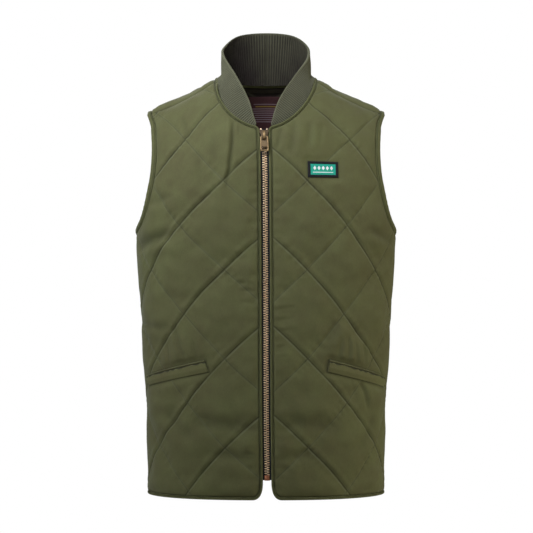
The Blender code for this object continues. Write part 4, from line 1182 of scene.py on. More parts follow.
def quilting_threads(name, face, hand, grid, sizes, pieces):
    """Stitches along both families of diagonal lines, where they lie clear of edges and laid pieces."""
    outline, _ = rim_of(grid)
    step = sizes.stitch / QUILT_RUN
    q = np.arange(-8, 4, step)
    number = np.arange(-10, 11)[:, None]
    rows = []
    for lean in (1, -1):
        p = 2 * number - lean * q[None]
        w = np.broadcast_to(QUILT_LEVEL + q[None] * QUILT_TALL, p.shape)
        s = np.interp(p, QUILT_COLUMN, QUILT[name])
        for _ in range(5):
            s = s + (p - column_of(np.stack([s, w], axis=-1), name)) * COLUMN_WIDE * 0.9
        flat = np.stack([s, w], axis=-1).reshape(-1, 2)
        flat = flat[inside(flat, outline)]
        clear = distance_to(flat, outline) > CLEAR_OF_EDGE
        for piece in pieces:
            clear &= ~inside(flat, piece) & (distance_to(flat, piece) > CLEAR_OF_PIECE)
        flat = flat[clear]
        ahead = form(face, flat + [-lean * COLUMN_WIDE * 0.01, QUILT_TALL * 0.01]) - form(face, flat)
        rows.append((flat, ahead))
    flat = np.concatenate([row[0] for row in rows])
    ahead = np.concatenate([row[1] for row in rows])
    slow, _ = slow_relief(flat, face, name, distance_to(flat, outline))
    out = form_normal(face, flat)
    lift = sizes.thickness + slow + STITCH_RISE
    centre = form(face, flat) + out * lift[:, None]
    threads(name + "_quilting", *(mirrored(rows, hand) for rows in (centre, ahead, out)),
            sizes.stitch * STITCH_SHARE)


def quilted_panel(name, face, hand, grid, sizes, pieces):
    """A panel as a closed wall on its pattern grid, its outside lifted by its relief, and its quilting stitches.
    Gives the size and area of its flat cut."""
    base = form(face, grid)
    # seam is the panel's painted shade, kept in its shade attribute
    lift, seam = panel_relief(grid, face, name, sizes, pieces)
    outer = base + form_normal(face, grid) * lift[..., None]
    points, faces, slots = shell(mirrored(outer, hand), mirrored(base, hand))
    add_piece(name + "_cloth", points, faces, ["brushed_olive", "lining_painted_shade"], name,
              slots=slots, cloth=both_sides(grid), shade=bare_inside(seam),
              quilt=both_sides(np.stack(line_numbers(grid, name), axis=-1)))
    quilting_threads(name, face, hand, grid, sizes, pieces)
    return [*flat_size(grid), flat_area(grid)]


class GILET_OT_fronts(bpy.types.Operator):
    """Both quilted fronts as closed walls on their pattern grids"""
    bl_idname = "gilet.fronts"
    bl_label = "Fronts"

    def execute(self, context):
        sizes = context.scene.gilet_cloth
        grid = front_grid(sizes.mesh)
        for hand, side in SIDES:
            cut = quilted_panel("front_" + side, FRONT, hand, grid, sizes, front_pieces(side))
        context.scene["front_cut"] = cut
        return {"FINISHED"}


class GILET_OT_back(bpy.types.Operator):
    """The quilted back as a closed wall on its pattern grid"""
    bl_idname = "gilet.back"
    bl_label = "Back"

    def execute(self, context):
        sizes = context.scene.gilet_cloth
        grid = back_grid(sizes.mesh * BACK_MESH)
        context.scene["back_cut"] = quilted_panel("back", BACK, LEFT, grid, sizes, [])
        return {"FINISHED"}


def band_section(tuck, groove_at, groove_wide):
    """Section of a stitched band as (share across, share of the lift): a low tuck that reaches under the panel,
    then a rounded roll with one sewn line in it."""
    roll = 0.5 - 0.5 * np.cos(np.linspace(0, math.pi, 23))
    across = np.concatenate([[-tuck, -tuck, 0.0], roll, [1.0, 1.0]])
    bulge = (1 - np.abs(2 * np.clip(across, 0, 1) - 1) ** 3.2) ** 0.5
    high = 0.42 + 0.58 * bulge - 0.26 * np.exp(-((across - groove_at) / groove_wide) ** 2)
    high[:3] = (0.0, 0.12, 0.12)
    high[-2:] = (0.4, 0.0)
    return across, high


def end_lift(run, first, last):
    """Lift of a band along a run, lower by a share within a reach of its first and its last end."""
    along = distance_along(run)
    lift = np.full(len(run), BAND_LIFT)
    for away, (flat, reach) in ((along, first), (along[-1] - along, last)):
        lift = lift * (1 - flat * np.exp(-(away / reach) ** 2))
    return lift


def band_piece(name, panel_edge, free_edge, out, sizes, lift, closed=False, ends=True, groove_at=0.3,
               groove_wide=0.1):
    """A band between the edge by the panel and the free edge, with small puckers along it."""
    lift = np.broadcast_to(lift, len(panel_edge))
    wide = np.linalg.norm(free_edge - panel_edge, axis=1).mean()
    across, high = band_section(BAND_TUCK / wide, groove_at, groove_wide)
    along = distance_along(panel_edge)
    pucker = 1 + 0.07 * np.sin(2 * math.pi * along / 0.013 + 2 * np.sin(along * 70)) * np.sin(along * 23 + 1)
    rings = (panel_edge[:, None] + (free_edge - panel_edge)[:, None] * across[None, :, None]
             + out[:, None] * (high[None] * (lift * pucker)[:, None])[..., None])
    if ends:
        for end, near in ((0, 1), (-1, -2)):
            ahead = rings[near].mean(axis=0) - rings[end].mean(axis=0)
            rings[end] -= ahead / np.linalg.norm(ahead) * GAP
    points, faces = carried(rings, closed)
    cloth = np.stack(np.broadcast_arrays(along[:, None], (across * wide)[None]), axis=-1).reshape(-1, 2)
    # Painted shade along the band's sewn groove
    groove = np.exp(-((across - groove_at) / (0.8 * groove_wide)) ** 2)
    shade = np.broadcast_to(groove[None], rings.shape[:2]).ravel()
    extra = len(points) - len(cloth)
    cloth = np.concatenate([cloth, np.zeros((extra, 2))])
    shade = np.concatenate([shade, np.zeros(extra)])
    add_piece(name + "_cloth", points, faces, ["band_olive"], name, cloth=cloth, shade=shade, sharp=60)
    line = panel_edge + (free_edge - panel_edge) * groove_at + out * (lift * 0.7)[:, None]
    sewn = stepped(line, sizes.stitch)
    lean = np.stack([np.interp(np.linspace(0, 1, len(sewn)), np.linspace(0, 1, len(out)), out[:, k])
                     for k in range(3)], axis=1)
    threads(name + "_stitches", sewn[1:-1], np.gradient(sewn, axis=0)[1:-1], lean[1:-1],
            sizes.stitch * STITCH_SHARE)


class GILET_OT_bands(bpy.types.Operator):
    """Stitched bands along the hem, front edges, neck and armholes"""
    bl_idname = "gilet.bands"
    bl_label = "Bands"

    def execute(self, context):
        sizes = context.scene.gilet_cloth
        hem, *others = front_lines()
        run = stepped(np.concatenate([hem, *(line[1:] for line in others)]), BAND_STEP)
        out = form_normal(FRONT, run)
        edges = [form(FRONT, moved_left(run, GAP + share * BAND)) for share in (0, 1)]
        for hand, side in SIDES:
            band_piece("front_band_" + side, mirrored(edges[0], hand), mirrored(edges[1], hand),
                       mirrored(out, hand), sizes, end_lift(run, SIDE_END, NECK_END))
        half = stepped(back_neck(), BAND_STEP)
        neck = np.concatenate([half[:0:-1] * [-1, 1], half])
        wide = float(side_seam(HEM))
        s = np.linspace(wide, -wide, 161)
        hem = stepped(np.stack([s, back_hem(s)], axis=1), HEM_STEP)
        for name, line, end in (("neck_band_back", neck, NECK_END), ("hem_band_back", hem, SIDE_END)):
            band_piece(name, form(BACK, moved_left(line, GAP)), form(BACK, moved_left(line, GAP + BAND)),
                       form_normal(BACK, line), sizes, end_lift(line, end, end))
        self.armholes(sizes)
        return {"FINISHED"}

    def armholes(self, sizes):
        """Each armhole band is one closed ring: down its front edge and up its back edge."""
        inner, outer, out = [], [], []
        for face in (FRONT, BACK):
            edge = arm_edge(face)
            near = moved_left(edge, -ARM_BAND)
            near[:, 0] = np.minimum(near[:, 0], side_seam(near[:, 1]))
            at = np.linspace(0, len(edge) - 1, 5 * len(edge))
            row = np.arange(len(edge), dtype=float)
            edge, near = [np.stack([smooth(at, row, line[:, k]) for k in (0, 1)], axis=1) for line in (edge, near)]
            keep = slice(0, -1) if face == FRONT else slice(None, 0, -1)
            inner.append(form(face, near)[keep])
            outer.append(form(face, edge)[keep])
            out.append(form_normal(face, edge)[keep])
        inner, outer, out = [np.concatenate(rows) for rows in (inner, outer, out)]
        away = np.linalg.norm(outer - outer[outer[:, 2].argmax()], axis=1)
        lift = BAND_LIFT * (1 - ARM_TIP_FLAT * np.exp(-(away / ARM_TIP_REACH) ** 2))
        for hand, side in SIDES:
            band_piece("armhole_band_" + side, mirrored(inner, hand), mirrored(outer, hand), mirrored(out, hand),
                       sizes, lift, closed=True, ends=False, groove_at=0.2, groove_wide=0.06)


class GILET_OT_collar(bpy.types.Operator):
    """The rib-knit collar: a wall from the neck seam over its rim, ribbed inside and out"""
    bl_idname = "gilet.collar"
    bl_label = "Collar"

    def execute(self, context):
        sizes = context.scene.gilet_cloth
        seam, rim = self.lines(sizes.ribs * RIB_POINTS + 1)
        tall = rim - seam
        reach = np.linalg.norm(tall, axis=1)
        out = unit(np.cross(np.gradient(seam, axis=0), tall))
        out *= np.sign((out * (seam - COLLAR_MIDDLE)).sum(axis=1))[:, None]
        share, lean = self.section(reach)
        column = np.arange(len(seam))
        crest = (0.5 - 0.5 * np.cos(2 * math.pi * column / RIB_POINTS)) ** 0.8
        below_rim = reach * (1 - share)
        ribbed = eased((below_rim - RIM_PLAIN[0]) / RIM_PLAIN[1])
        ribs = np.where(lean > 0, sizes.rib * (1 - crest), 0.75 * sizes.rib * crest) * ribbed
        sag = COLLAR_SAG * np.sin(column * 2 * math.pi / 173 + 3 * share) * share
        half = COLLAR_WALL / 2
        roll = COLLAR_ROLL[0] * np.exp(-(below_rim / COLLAR_ROLL[1]) ** 2)
        depth = self.bulge(share, lean) + sag - GAP - half + lean * (half + roll - ribs)
        middle = seam + tall * share[..., None]
        points, faces = carried((middle + out * depth[..., None]).transpose(1, 0, 2))
        rib = np.broadcast_to(column / RIB_POINTS, share.shape)
        cloth = np.stack([rib.T, (share * reach).T], axis=-1).reshape(-1, 2)
        # Painted shade in the grooves between ribs, outside and inside
        groove = 0.7 * np.where(lean > 0, 1 - crest, crest) * ribbed
        shade = self.painted_shades(middle[..., 0], share, lean, groove).T.ravel()
        add_piece("collar_knit", points, faces, ["olive_rib_knit"], "collar", sharp=75,
                  cloth=np.concatenate([cloth, np.zeros((2, 2))]), shade=np.concatenate([shade, np.zeros(2)]))
        flat = distance_along(seam)[-1]
        context.scene["collar_cut"] = [float(flat), float(reach.max()), float(flat * reach.mean())]
        return {"FINISHED"}

    def section(self, reach):
        """Share of the way up and lean (1 outside, -1 inside) of each row: up, over a round rim, and down."""
        rise = 1 - np.clip(COLLAR_WALL / 2 / reach, 0, 0.5)
        v = np.linspace(0, 1, 26)[:, None]
        turn = np.linspace(0, math.pi, 9)[1:-1, None]
        share = np.concatenate([v * rise, rise + np.sin(turn) * (1 - rise), v[::-1] * rise])
        return share, np.concatenate([np.ones_like(v), np.cos(turn), -np.ones_like(v)])

    def bulge(self, share, lean):
        """How far the wall stands out: a low arch, less a waist by the shoulders, and a foot that spreads there."""
        off = 1 - np.abs(np.linspace(-1, 1, share.shape[1])) - COLLAR_WAIST_AT
        waist = COLLAR_WAIST * np.exp(-(off / COLLAR_WAIST_WIDE) ** 2)
        foot = COLLAR_FOOT * np.exp(-(off / COLLAR_FOOT_WIDE) ** 2)
        arch = COLLAR_BULGE * 4 * share * (1 - share) - waist * (1 - share) * eased(share / COLLAR_FLARE)
        return arch + np.clip(lean, 0, 1) * foot * np.exp(-(share / COLLAR_FOOT_TALL) ** 2)

    def painted_shades(self, x, share, lean, groove):
        """Painted shade of the knit: in its grooves, and on its inside, darker towards the foot and both sides, and
        a little on the outside of the wearer's left half.
        """
        aside = eased((0.035 - x) / 0.085)
        deep = 0.45 * eased((0.01 - x) / 0.065) + 0.2 * eased((x - 0.015) / 0.05)
        inner = np.clip(-lean, 0, 1) * np.clip(0.34 + 0.42 * (1 - share) + deep, 0, 1)
        # Painted shade on the outside of the wearer's left half
        inner = inner + 0.16 * np.clip(lean, 0, 1) * eased((0.6 - aside) / 0.5)
        return np.clip(groove * (1 - inner) + inner, 0, 1)

    def lines(self, count):
        """Neck seam and rim of the whole collar, each point at the same share of the way round."""
        _, _, _, fillet, neck = front_lines()
        start = fillet[int(len(fillet) * 0.66):-1]
        away = 2 * GAP + BAND
        front = form(FRONT, moved_left(stepped(np.concatenate([start, neck]), COLLAR_STEP), away))
        behind = form(BACK, moved_left(stepped(back_neck(), COLLAR_STEP), away))
        seam = evenly(np.concatenate([front, behind[::-1][1:]]), count)
        share = np.linspace(0, 1, count)
        rim = np.stack([smooth(share, RIM_SHARE, column) for column in (RIM_X, RIM_Y, RIM_Z)], axis=1)
        return [np.concatenate([line, line[-2::-1] * [-1, 1, 1]]) for line in (seam, rim)]


class GILET_OT_pockets(bpy.types.Operator):
    """The slanted pocket welts, with a stitched mouth along the top"""
    bl_idname = "gilet.pockets"
    bl_label = "Pocket welts"

    def execute(self, context):
        sizes = context.scene.gilet_cloth
        start = sizes.thickness + PRESSED + GAP
        long = sizes.stitch * WELT_STITCH_SHARE
        for hand, side in SIDES:
            name = "pocket_welt_" + side
            corners = welt_corners(side)
            flat, high, shade = self.relief(corners, welt_loop(side))
            base = form(FRONT, flat)
            out = form_normal(FRONT, flat)
            outer = mirrored(base + out * (start + high)[..., None], hand)
            points, faces, _ = shell(outer, mirrored(base + out * start, hand))
            add_piece(name + "_cloth", points, faces, ["welt_cloth"], name, cloth=both_sides(flat),
                      shade=bare_inside(shade))
            down = (corners[[3, 2]] - corners[:2]) * WELT_ROW / WELT_TALL
            rows = [stepped(corners[:2] + down, sizes.stitch)[1:-1]]
            inward = (corners[1] - corners[0]) * WELT_END_ROW
            for ends, aside in ((corners[[0, 3]], inward), (corners[[1, 2]], -inward)):
                rows.append(stepped(ends + aside, long)[1:-1])
            line = np.concatenate(rows)
            ahead = np.concatenate([np.gradient(form(FRONT, row), axis=0) for row in rows])
            lean = form_normal(FRONT, line)
            centre = form(FRONT, line) + lean * (start + WELT_LIFT * 0.72)
            threads(name + "_stitches", mirrored(centre, hand), mirrored(ahead, hand), mirrored(lean, hand), long)
        return {"FINISHED"}

    def relief(self, corners, loop):
        """Flat grid of a welt, its height and its painted shade: a sheet with rolled edges that thins to its foot,
        with a wavering groove along the mouth, painted dark in the mouth's opening and along the edges."""
        u = np.linspace(0, 1, 120)[None, :, None]
        v = np.linspace(0, 1, 34)[:, None, None]
        flat = (1 - v) * ((1 - u) * corners[3] + u * corners[2]) + v * ((1 - u) * corners[0] + u * corners[1])
        u = u[..., 0]
        edge = distance_to(flat, loop)
        roll = np.sqrt(1 - (1 - np.clip(edge / 0.0016, 0, 1)) ** 2)
        down = (1 - v[..., 0]) * WELT_TALL
        waver = 0.0004 * np.sin(u * 47 + 2.5 * np.sin(u * 13))
        open_wide = 0.001 + 0.0004 * np.sin(math.pi * u) + waver
        lip = 1.1 * np.exp(-((down - WELT_MOUTH - waver) / open_wide) ** 2)
        wave = 0.1 * np.sin(u * 41 + 2 * np.sin(u * 9)) * np.exp(-((down - 0.003) / 0.004) ** 2)
        soft = 0.42 + 0.58 * eased((WELT_TALL - down) / 0.008)
        high = WELT_LIFT * (0.25 + 0.75 * roll) * (soft + wave) - WELT_MOUTH_DEEP * lip * roll
        # Painted shadow in the mouth's opening, painted shade along the rolled edges
        return flat, high, np.clip(lip + 0.6 * np.exp(-(edge / 0.0006) ** 2), 0, 1)


def squared_ring(count, power, start=0.0):
    """A ring of points whose cosine and sine are raised to a power, so that it nears a square."""
    turn = np.linspace(0, 2 * math.pi, count + 1)[:-1] + start
    ring = np.stack([np.cos(turn), np.sin(turn)], axis=1)
    return np.sign(ring) * np.abs(ring) ** power


def zip_line(levels):
    """Places down the middle of the front at given levels, with the directions up along the zip and out."""
    flat = lay_flat(FRONT, np.zeros(len(levels)), levels)
    place = form(FRONT, flat)
    out = form_normal(FRONT, flat)
    up = unit(np.cross(out, [1.0, 0.0, 0.0]))
    up *= np.sign(up[:, 2:3])
    return place, up, out


class GILET_OT_zip(bpy.types.Operator):
    """Tapes, interlocked teeth and stops of the zip"""
    bl_idname = "gilet.zip"
    bl_label = "Zip"

    def execute(self, context):
        for hand, side in SIDES:
            self.tape(hand, side)
            self.teeth(hand, side, context.scene.gilet_zip.pitch)
            self.top_stop(side)
        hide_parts("zip_chain")
        self.bottom_stop()
        return {"FINISHED"}

    def tape(self, hand, side):
        """A strip beside the teeth, its near edge drawn in under them as a rounded bead."""
        levels = np.linspace(ZIP_TOP, STOP_END + 0.0006, 260)
        across = np.linspace(BEAD_END, TAPE_OUTER, 12)
        behind = -TAPE_BEHIND - TAPE_THICK
        rings_x = np.array([*BEAD_ACROSS, *across, TAPE_OUTER, BEAD_END, BEAD_ACROSS[-1]])
        rings_y = np.array([*BEAD_HIGH, *[-TAPE_BEHIND] * 12, behind, behind, -0.0022])
        flat = lay_flat(FRONT, np.zeros(len(levels)), levels)
        flat = flat[:, None] + np.stack([rings_x, np.zeros(len(rings_x))], axis=1)[None]
        rings = form(FRONT, flat) + form_normal(FRONT, flat) * rings_y[None, :, None]
        points, faces = carried(mirrored(rings, hand))
        cloth = np.concatenate([flat.reshape(-1, 2), np.zeros((2, 2))])
        name = "zip_tape_" + side
        add_piece(name + "_weave", points, faces, ["zip_tape_weave"], name, cloth=cloth)

    def teeth(self, hand, side, pitch):
        """Teeth: rounded bars from foot to locking head, a pitch apart, half a pitch between sides."""
        share = 0.0 if hand == RIGHT else 0.5
        count = int((CHAIN_TOP - ZIP_END) / pitch)
        levels = CHAIN_TOP - (np.arange(count) + 0.4 + share) * pitch
        place, up, out = zip_line(levels)
        square = squared_ring(8, 0.9, math.pi / 8)
        across, tall, deep = np.array(TOOTH)[..., None]
        bar = np.stack([np.broadcast_to(across * hand, (6, 8)), tall * square[:, 0], deep * square[:, 1] - 0.0003],
                       axis=-1)
        points, faces = carried(bar)
        axes = np.stack([np.broadcast_to([1.0, 0.0, 0.0], up.shape), up, out], axis=1)
        rows = (place[:, None] + np.einsum("vk,nkc->nvc", points, axes)).reshape(-1, 3)
        faces = (np.arange(count)[:, None, None] * len(points) + faces[None]).reshape(-1, 4)
        add_piece("zip_teeth_" + side, rows, outward(rows, faces), ["tooth_copper"], sharp=50)

    def top_stop(self, side):
        """A rounded stud clamped on the tape's end: a profile turned about its axis."""
        name = "zip_top_stop_" + side
        low, high = (np.array(corner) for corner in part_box(name))
        middle = (low + high) / 2
        _, up, out = zip_line(np.array([middle[2]]))
        level = np.linspace(-0.5, 0.5, 7)
        radius = STUD_RADIUS * (1 - np.abs(2 * level) ** 3.5 * 0.45)
        turn = np.linspace(0, 2 * math.pi, 17)[:-1]
        ring = (np.array([1.0, 0, 0]) * np.cos(turn)[:, None] + up[0] * np.sin(turn)[:, None])
        rings = middle + ring[None] * radius[:, None, None] + out[0] * (level * STUD_TALL)[:, None, None]
        points, faces = carried(rings)
        add_piece(name + "_stud", points, faces, ["tooth_copper"], name, sharp=60, aside=False)

    def bottom_stop(self):
        """The box and pin at the foot: a rounded block with a slit down its middle and a step near its top."""
        row = np.arange(STOP_ROWS)
        levels = np.linspace(ZIP_END - GAP, STOP_END, STOP_ROWS)
        flat = lay_flat(FRONT, np.zeros(STOP_ROWS), levels)
        across = STOP_HALF * np.sin(np.linspace(-math.pi / 2, math.pi / 2, 31))
        end = np.minimum(row, STOP_ROWS - 1 - row) / 4.0
        drawn = np.sqrt(1 - (1 - np.clip(end, 0.15, 1)) ** 2)[:, None]
        side = np.sqrt(np.clip(1 - np.abs(across / STOP_HALF) ** 4, 0, 1))
        slit = 0.0011 * np.exp(-(across / 0.00035) ** 2) * (row < STOP_ROWS - 2)[:, None]
        step = 0.0004 * (np.abs(row - 9) < 1.5)[:, None]
        front = 0.0003 + STOP_LIFT * side * drawn - slit - step
        behind = -0.0006 - STOP_LIFT * side[::-1] * drawn
        x = np.concatenate([across, across[::-1]]) * (0.92 + 0.08 * drawn)
        place = flat[:, None] + np.stack([x, np.zeros_like(x)], axis=-1)
        rings = form(FRONT, place) + form_normal(FRONT, place) * np.concatenate([front, behind], axis=1)[..., None]
        points, faces = carried(rings)
        add_piece("zip_bottom_stop_box", points, faces, ["stop_copper"], "zip_bottom_stop", sharp=60)


class GILET_OT_slider(bpy.types.Operator):
    """Slider and pull tab: their solids with rounded edges"""
    bl_idname = "gilet.slider"
    bl_label = "Slider and pull"

    def execute(self, context):
        place, _, out = zip_line(np.array([HINGE_LEVEL]))
        # The last number darkens faces below bright_over: painted shade, partly tarnish; the slider's crown stays
        # bright
        for node, name, body, metal, round_edge, bright_over, shade_and_tarnish in (
                ("zip_slider", "zip_slider_body", BODY, "rim_brass", 0.00038, 0.0064, 0.86),
                ("zip_pull", "zip_pull_tab", "pull_tab", "rubbed_brass", 0.0004, 0.01, 0.55)):
            work = bmesh.new()
            work.from_mesh(frame["nodes"][node].data)
            bmesh.ops.remove_doubles(work, verts=work.verts[:], dist=1e-6)
            bmesh.ops.dissolve_limit(work, angle_limit=math.radians(2), verts=work.verts[:], edges=work.edges[:])
            mesh = bpy.data.meshes.new(name)
            work.to_mesh(mesh)
            work.free()
            for old in [layer for layer in mesh.attributes if layer.name == "custom_normal"]:
                mesh.attributes.remove(old)
            mesh.materials.clear()
            mesh.materials.append(finish(metal))
            mesh.polygons.foreach_set("use_smooth", np.ones(len(mesh.polygons), bool))
            mesh.set_sharp_from_angle(angle=math.radians(50))
            middles = np.empty(len(mesh.polygons) * 3)
            mesh.polygons.foreach_get("center", middles)
            high = (middles.reshape(-1, 3) - place[0]) @ out[0]
            # Painted shade, partly tarnish: the slider darker below its crown, the pull's face darker than its
            # raised rim
            layer = mesh.attributes.new("shade", "FLOAT", "FACE")
            layer.data.foreach_set("value", np.where(high > bright_over, 0.0, shade_and_tarnish).astype(np.float32))
            piece = bpy.data.objects.new(name, mesh)
            context.scene.collection.objects.link(piece)
            bevel = piece.modifiers.new("rounded edges", "BEVEL")
            bevel.width = round_edge
            bevel.segments = 3
            bevel.limit_method = "ANGLE"
            bevel.angle_limit = math.radians(35)
            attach(piece, body)
            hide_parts(node)
        self.rim()
        return {"FINISHED"}

    def rim(self):
        """A raised edge on the pull's face: a low rounded profile carried round a rectangle with round corners."""
        place, up, out = zip_line(np.array([HINGE_LEVEL]))
        box = squared_ring(96, 0.3)
        half = np.array([PULL_HALF, (PULL_LENGTH + PULL_ABOVE) / 2]) - RIM_INSET
        line = evenly(np.concatenate([box, box[:1]]) * half, 121)[:-1] - [0, (PULL_LENGTH - PULL_ABOVE) / 2]
        ahead = unit(np.roll(line, -1, axis=0) - np.roll(line, 1, axis=0))
        aside = np.stack([ahead[:, 1], -ahead[:, 0]], axis=1)
        section = np.linspace(0, 2 * math.pi, 11)[:-1]
        flat = line[:, None] + aside[:, None] * (RIM_HALF[0] * np.cos(section))[None, :, None]
        high = np.broadcast_to(PULL_LIFT + RIM_RISE + RIM_HALF[1] * np.sin(section), flat.shape[:2])
        rings = (place[0] + flat[..., :1] * np.array([1.0, 0.0, 0.0]) + flat[..., 1:] * up[0]
                 + high[..., None] * out[0])
        points, faces = carried(rings, closed=True)
        add_piece("zip_pull_rim", points, faces, ["rim_brass"], body="pull_tab", sharp=60)


def laid_sheet(name, node, flat, face, start, high, look, turn=1):
    """A thin closed sheet on the form: its near side start away from it, its far side high further, on the inside
    of the garment where turn is -1."""
    base = form(face, flat)
    out = form_normal(face, flat) * turn
    points, faces, _ = shell(base + out * (start + high)[..., None], base + out * start)
    rows = flat.reshape(-1, 2)
    middle = (rows.min(axis=0) + rows.max(axis=0)) / 2
    add_piece(name, points, faces, [look], node, cloth=both_sides(rows - middle))


def design_on(look):
    """A finish's tree, the socket for its colour, the colour it has, and both coordinates on its map."""
    tree = finish(look).node_tree
    socket = tree.nodes["Principled BSDF"].inputs["Base Color"]
    return tree, socket, Wire(tree, socket.links[0].from_socket), *cloth_place(tree)


def level_bar(x, y, level, half_tall, half_wide):
    """1 on a level bar of a design, otherwise 0."""
    return y.math("COMPARE", level, half_tall) * abs(x).math("LESS_THAN", half_wide)


def patch_design(look):
    """A woven patch: dark border, teal field, a row of small white lozenges over a thin white stripe."""
    tree, socket, field, x, y = design_on(look)
    apart, wide, tall, level = LOZENGES
    column = abs((x / apart + 100.5).math("FRACT") - 0.5) * (apart / wide)
    row = abs(y - level) / tall
    lozenge = (column + row).math("LESS_THAN", 1.0) * abs(x).math("LESS_THAN", 0.0165)
    white = lozenge.math("MAXIMUM", level_bar(x, y, -0.0046, 0.0006, 0.016))
    by_side = abs(x).math("GREATER_THAN", PATCH_SIZE[0] / 2 - PATCH_BORDER)
    border = by_side.math("MAXIMUM", abs(y).math("GREATER_THAN", PATCH_SIZE[1] / 2 - PATCH_BORDER))
    colour = blended(white, field, (0.86, 0.88, 0.86))
    put(tree, blended(border, colour, (0.011, 0.011, 0.013)), socket)


def label_design(look):
    """A woven label: maroon ground with a few plain pale and gold lines of different length."""
    tree, socket, field, x, y = design_on(look)
    lines = [level_bar(x, y, level, 0.0007, half) for level, half in LABEL_LINES]
    pale = lines[0]
    for line in lines[1:]:
        pale = pale.math("MAXIMUM", line)
    colour = blended(pale * 0.55, field, (0.36, 0.3, 0.32))
    put(tree, blended(level_bar(x, y, 0.0125, 0.001, 0.018) * 0.8, colour, (0.3, 0.2, 0.03)), socket)


class GILET_OT_sewn_on(bpy.types.Operator):
    """The chest patch, and the label and tape inside the back neck"""
    bl_idname = "gilet.sewn_on"
    bl_label = "Patch, label and tape"

    def execute(self, context):
        self.patch(context.scene.gilet_cloth.thickness + PRESSED + GAP)
        self.label()
        self.tape()
        return {"FINISHED"}

    def patch(self, start):
        """A flat sheet with a raised, twisted border."""
        middle = lay_flat(FRONT, *PATCH_MIDDLE)
        x = np.linspace(-0.5, 0.5, 97)[None] * PATCH_SIZE[0]
        y = np.linspace(-0.5, 0.5, 53)[:, None] * PATCH_SIZE[1]
        flat = np.stack(np.broadcast_arrays(middle[0] + x, middle[1] + y), axis=-1)
        edge = distance_to(flat, patch_loop())
        border = np.sqrt(np.clip(1 - ((edge - 0.0018) / 0.002) ** 2, 0, 1))
        twist = 1 + 0.1 * np.sin((flat[..., 0] + flat[..., 1]) * 2 * math.pi / 0.0016)
        high = PATCH_GROUND + (PATCH_LIFT - PATCH_GROUND) * border * twist - 0.0004 * (edge < 0.0003)
        patch_design("badge_weave")
        laid_sheet("chest_patch_weave", "chest_patch", flat, FRONT, start, high, "badge_weave")

    def label(self):
        """A flat sheet that thins at its edge, with a shallow groove where it is sewn."""
        levels = lay_flat(BACK, np.zeros(2), np.array(LABEL_LEVELS))[:, 1]
        s = np.linspace(-LABEL_HALF, LABEL_HALF, 65)[None]
        w = np.linspace(levels[1], levels[0], 57)[:, None]
        flat = np.stack(np.broadcast_arrays(s, w), axis=-1)
        edge = distance_to(flat, rim_of(flat)[0])
        groove = 0.0002 * np.exp(-((edge - 0.002) / 0.0006) ** 2)
        high = LABEL_LIFT * (0.55 + 0.45 * np.clip(edge / 0.001, 0, 1)) - groove
        label_design("label_weave")
        laid_sheet("neck_label_weave", "neck_label", flat, BACK, GAP, high, "label_weave", -1)

    def tape(self):
        """A strip along the back neck seam with rounded edges."""
        half = stepped(back_neck(), NECK_TAPE_STEP)
        run = np.concatenate([half[:0:-1] * [-1, 1], half])
        run = run[np.abs(run[:, 0]) < NECK_TAPE_HALF]
        near, far = (moved_left(run, -edge_at) for edge_at in NECK_TAPE_EDGES)
        v = np.linspace(0, 1, 11)[:, None, None]
        flat = (1 - v) * far[None] + v * near[None]
        edge = distance_to(flat, rim_of(flat)[0])
        high = LABEL_LIFT * (0.6 + 0.4 * np.sqrt(np.clip(edge / 0.002, 0, 1)))
        # Its near-black finish is painted shade
        laid_sheet("neck_tape_painted_shade_twill", "neck_tape", flat, BACK, GAP, high, "neck_tape_painted_shade_twill", -1)


SEWN_ON_FRONT = ("front_%s_quilting", "front_band_%s_cloth", "front_band_%s_stitches", "pocket_welt_%s_cloth",
                 "pocket_welt_%s_stitches", "zip_tape_%s_weave", "armhole_band_%s_cloth",
                 "armhole_band_%s_stitches")


class GILET_OT_cloth_facts(bpy.types.Operator):
    """Looks up what is sewn on each front and on the back, and does nothing more with it"""
    bl_idname = "gilet.cloth_facts"
    bl_label = "Flat cuts"

    def execute(self, context):
        found = bpy.data.objects
        for side in ("right", "left"):
            sewn = [found[name % side] for name in SEWN_ON_FRONT]
            if side == "left":
                sewn.append(found["chest_patch_weave"])
        sewn = [found[name] for name in ("back_quilting", "neck_band_back_cloth", "neck_band_back_stitches",
                                         "hem_band_back_cloth", "hem_band_back_stitches", "neck_label_weave",
                                         "neck_tape_painted_shade_twill")]
        return {"FINISHED"}


def lamp(name, place, aim, size, power, colour, spread):
    """A rectangular lamp at a place, turned to what it aims at."""
    made = bpy.data.lights.new(name, "AREA")
    made.spread = math.radians(spread)
    made.shape = "RECTANGLE"
    made.size, made.size_y = size
    made.energy = power
    made.color = colour
    thing = bpy.data.objects.new(name, made)
    thing.location = place
    thing.rotation_euler = (Vector(aim) - Vector(place)).to_track_quat("-Z", "Y").to_euler()
    bpy.context.scene.collection.objects.link(thing)


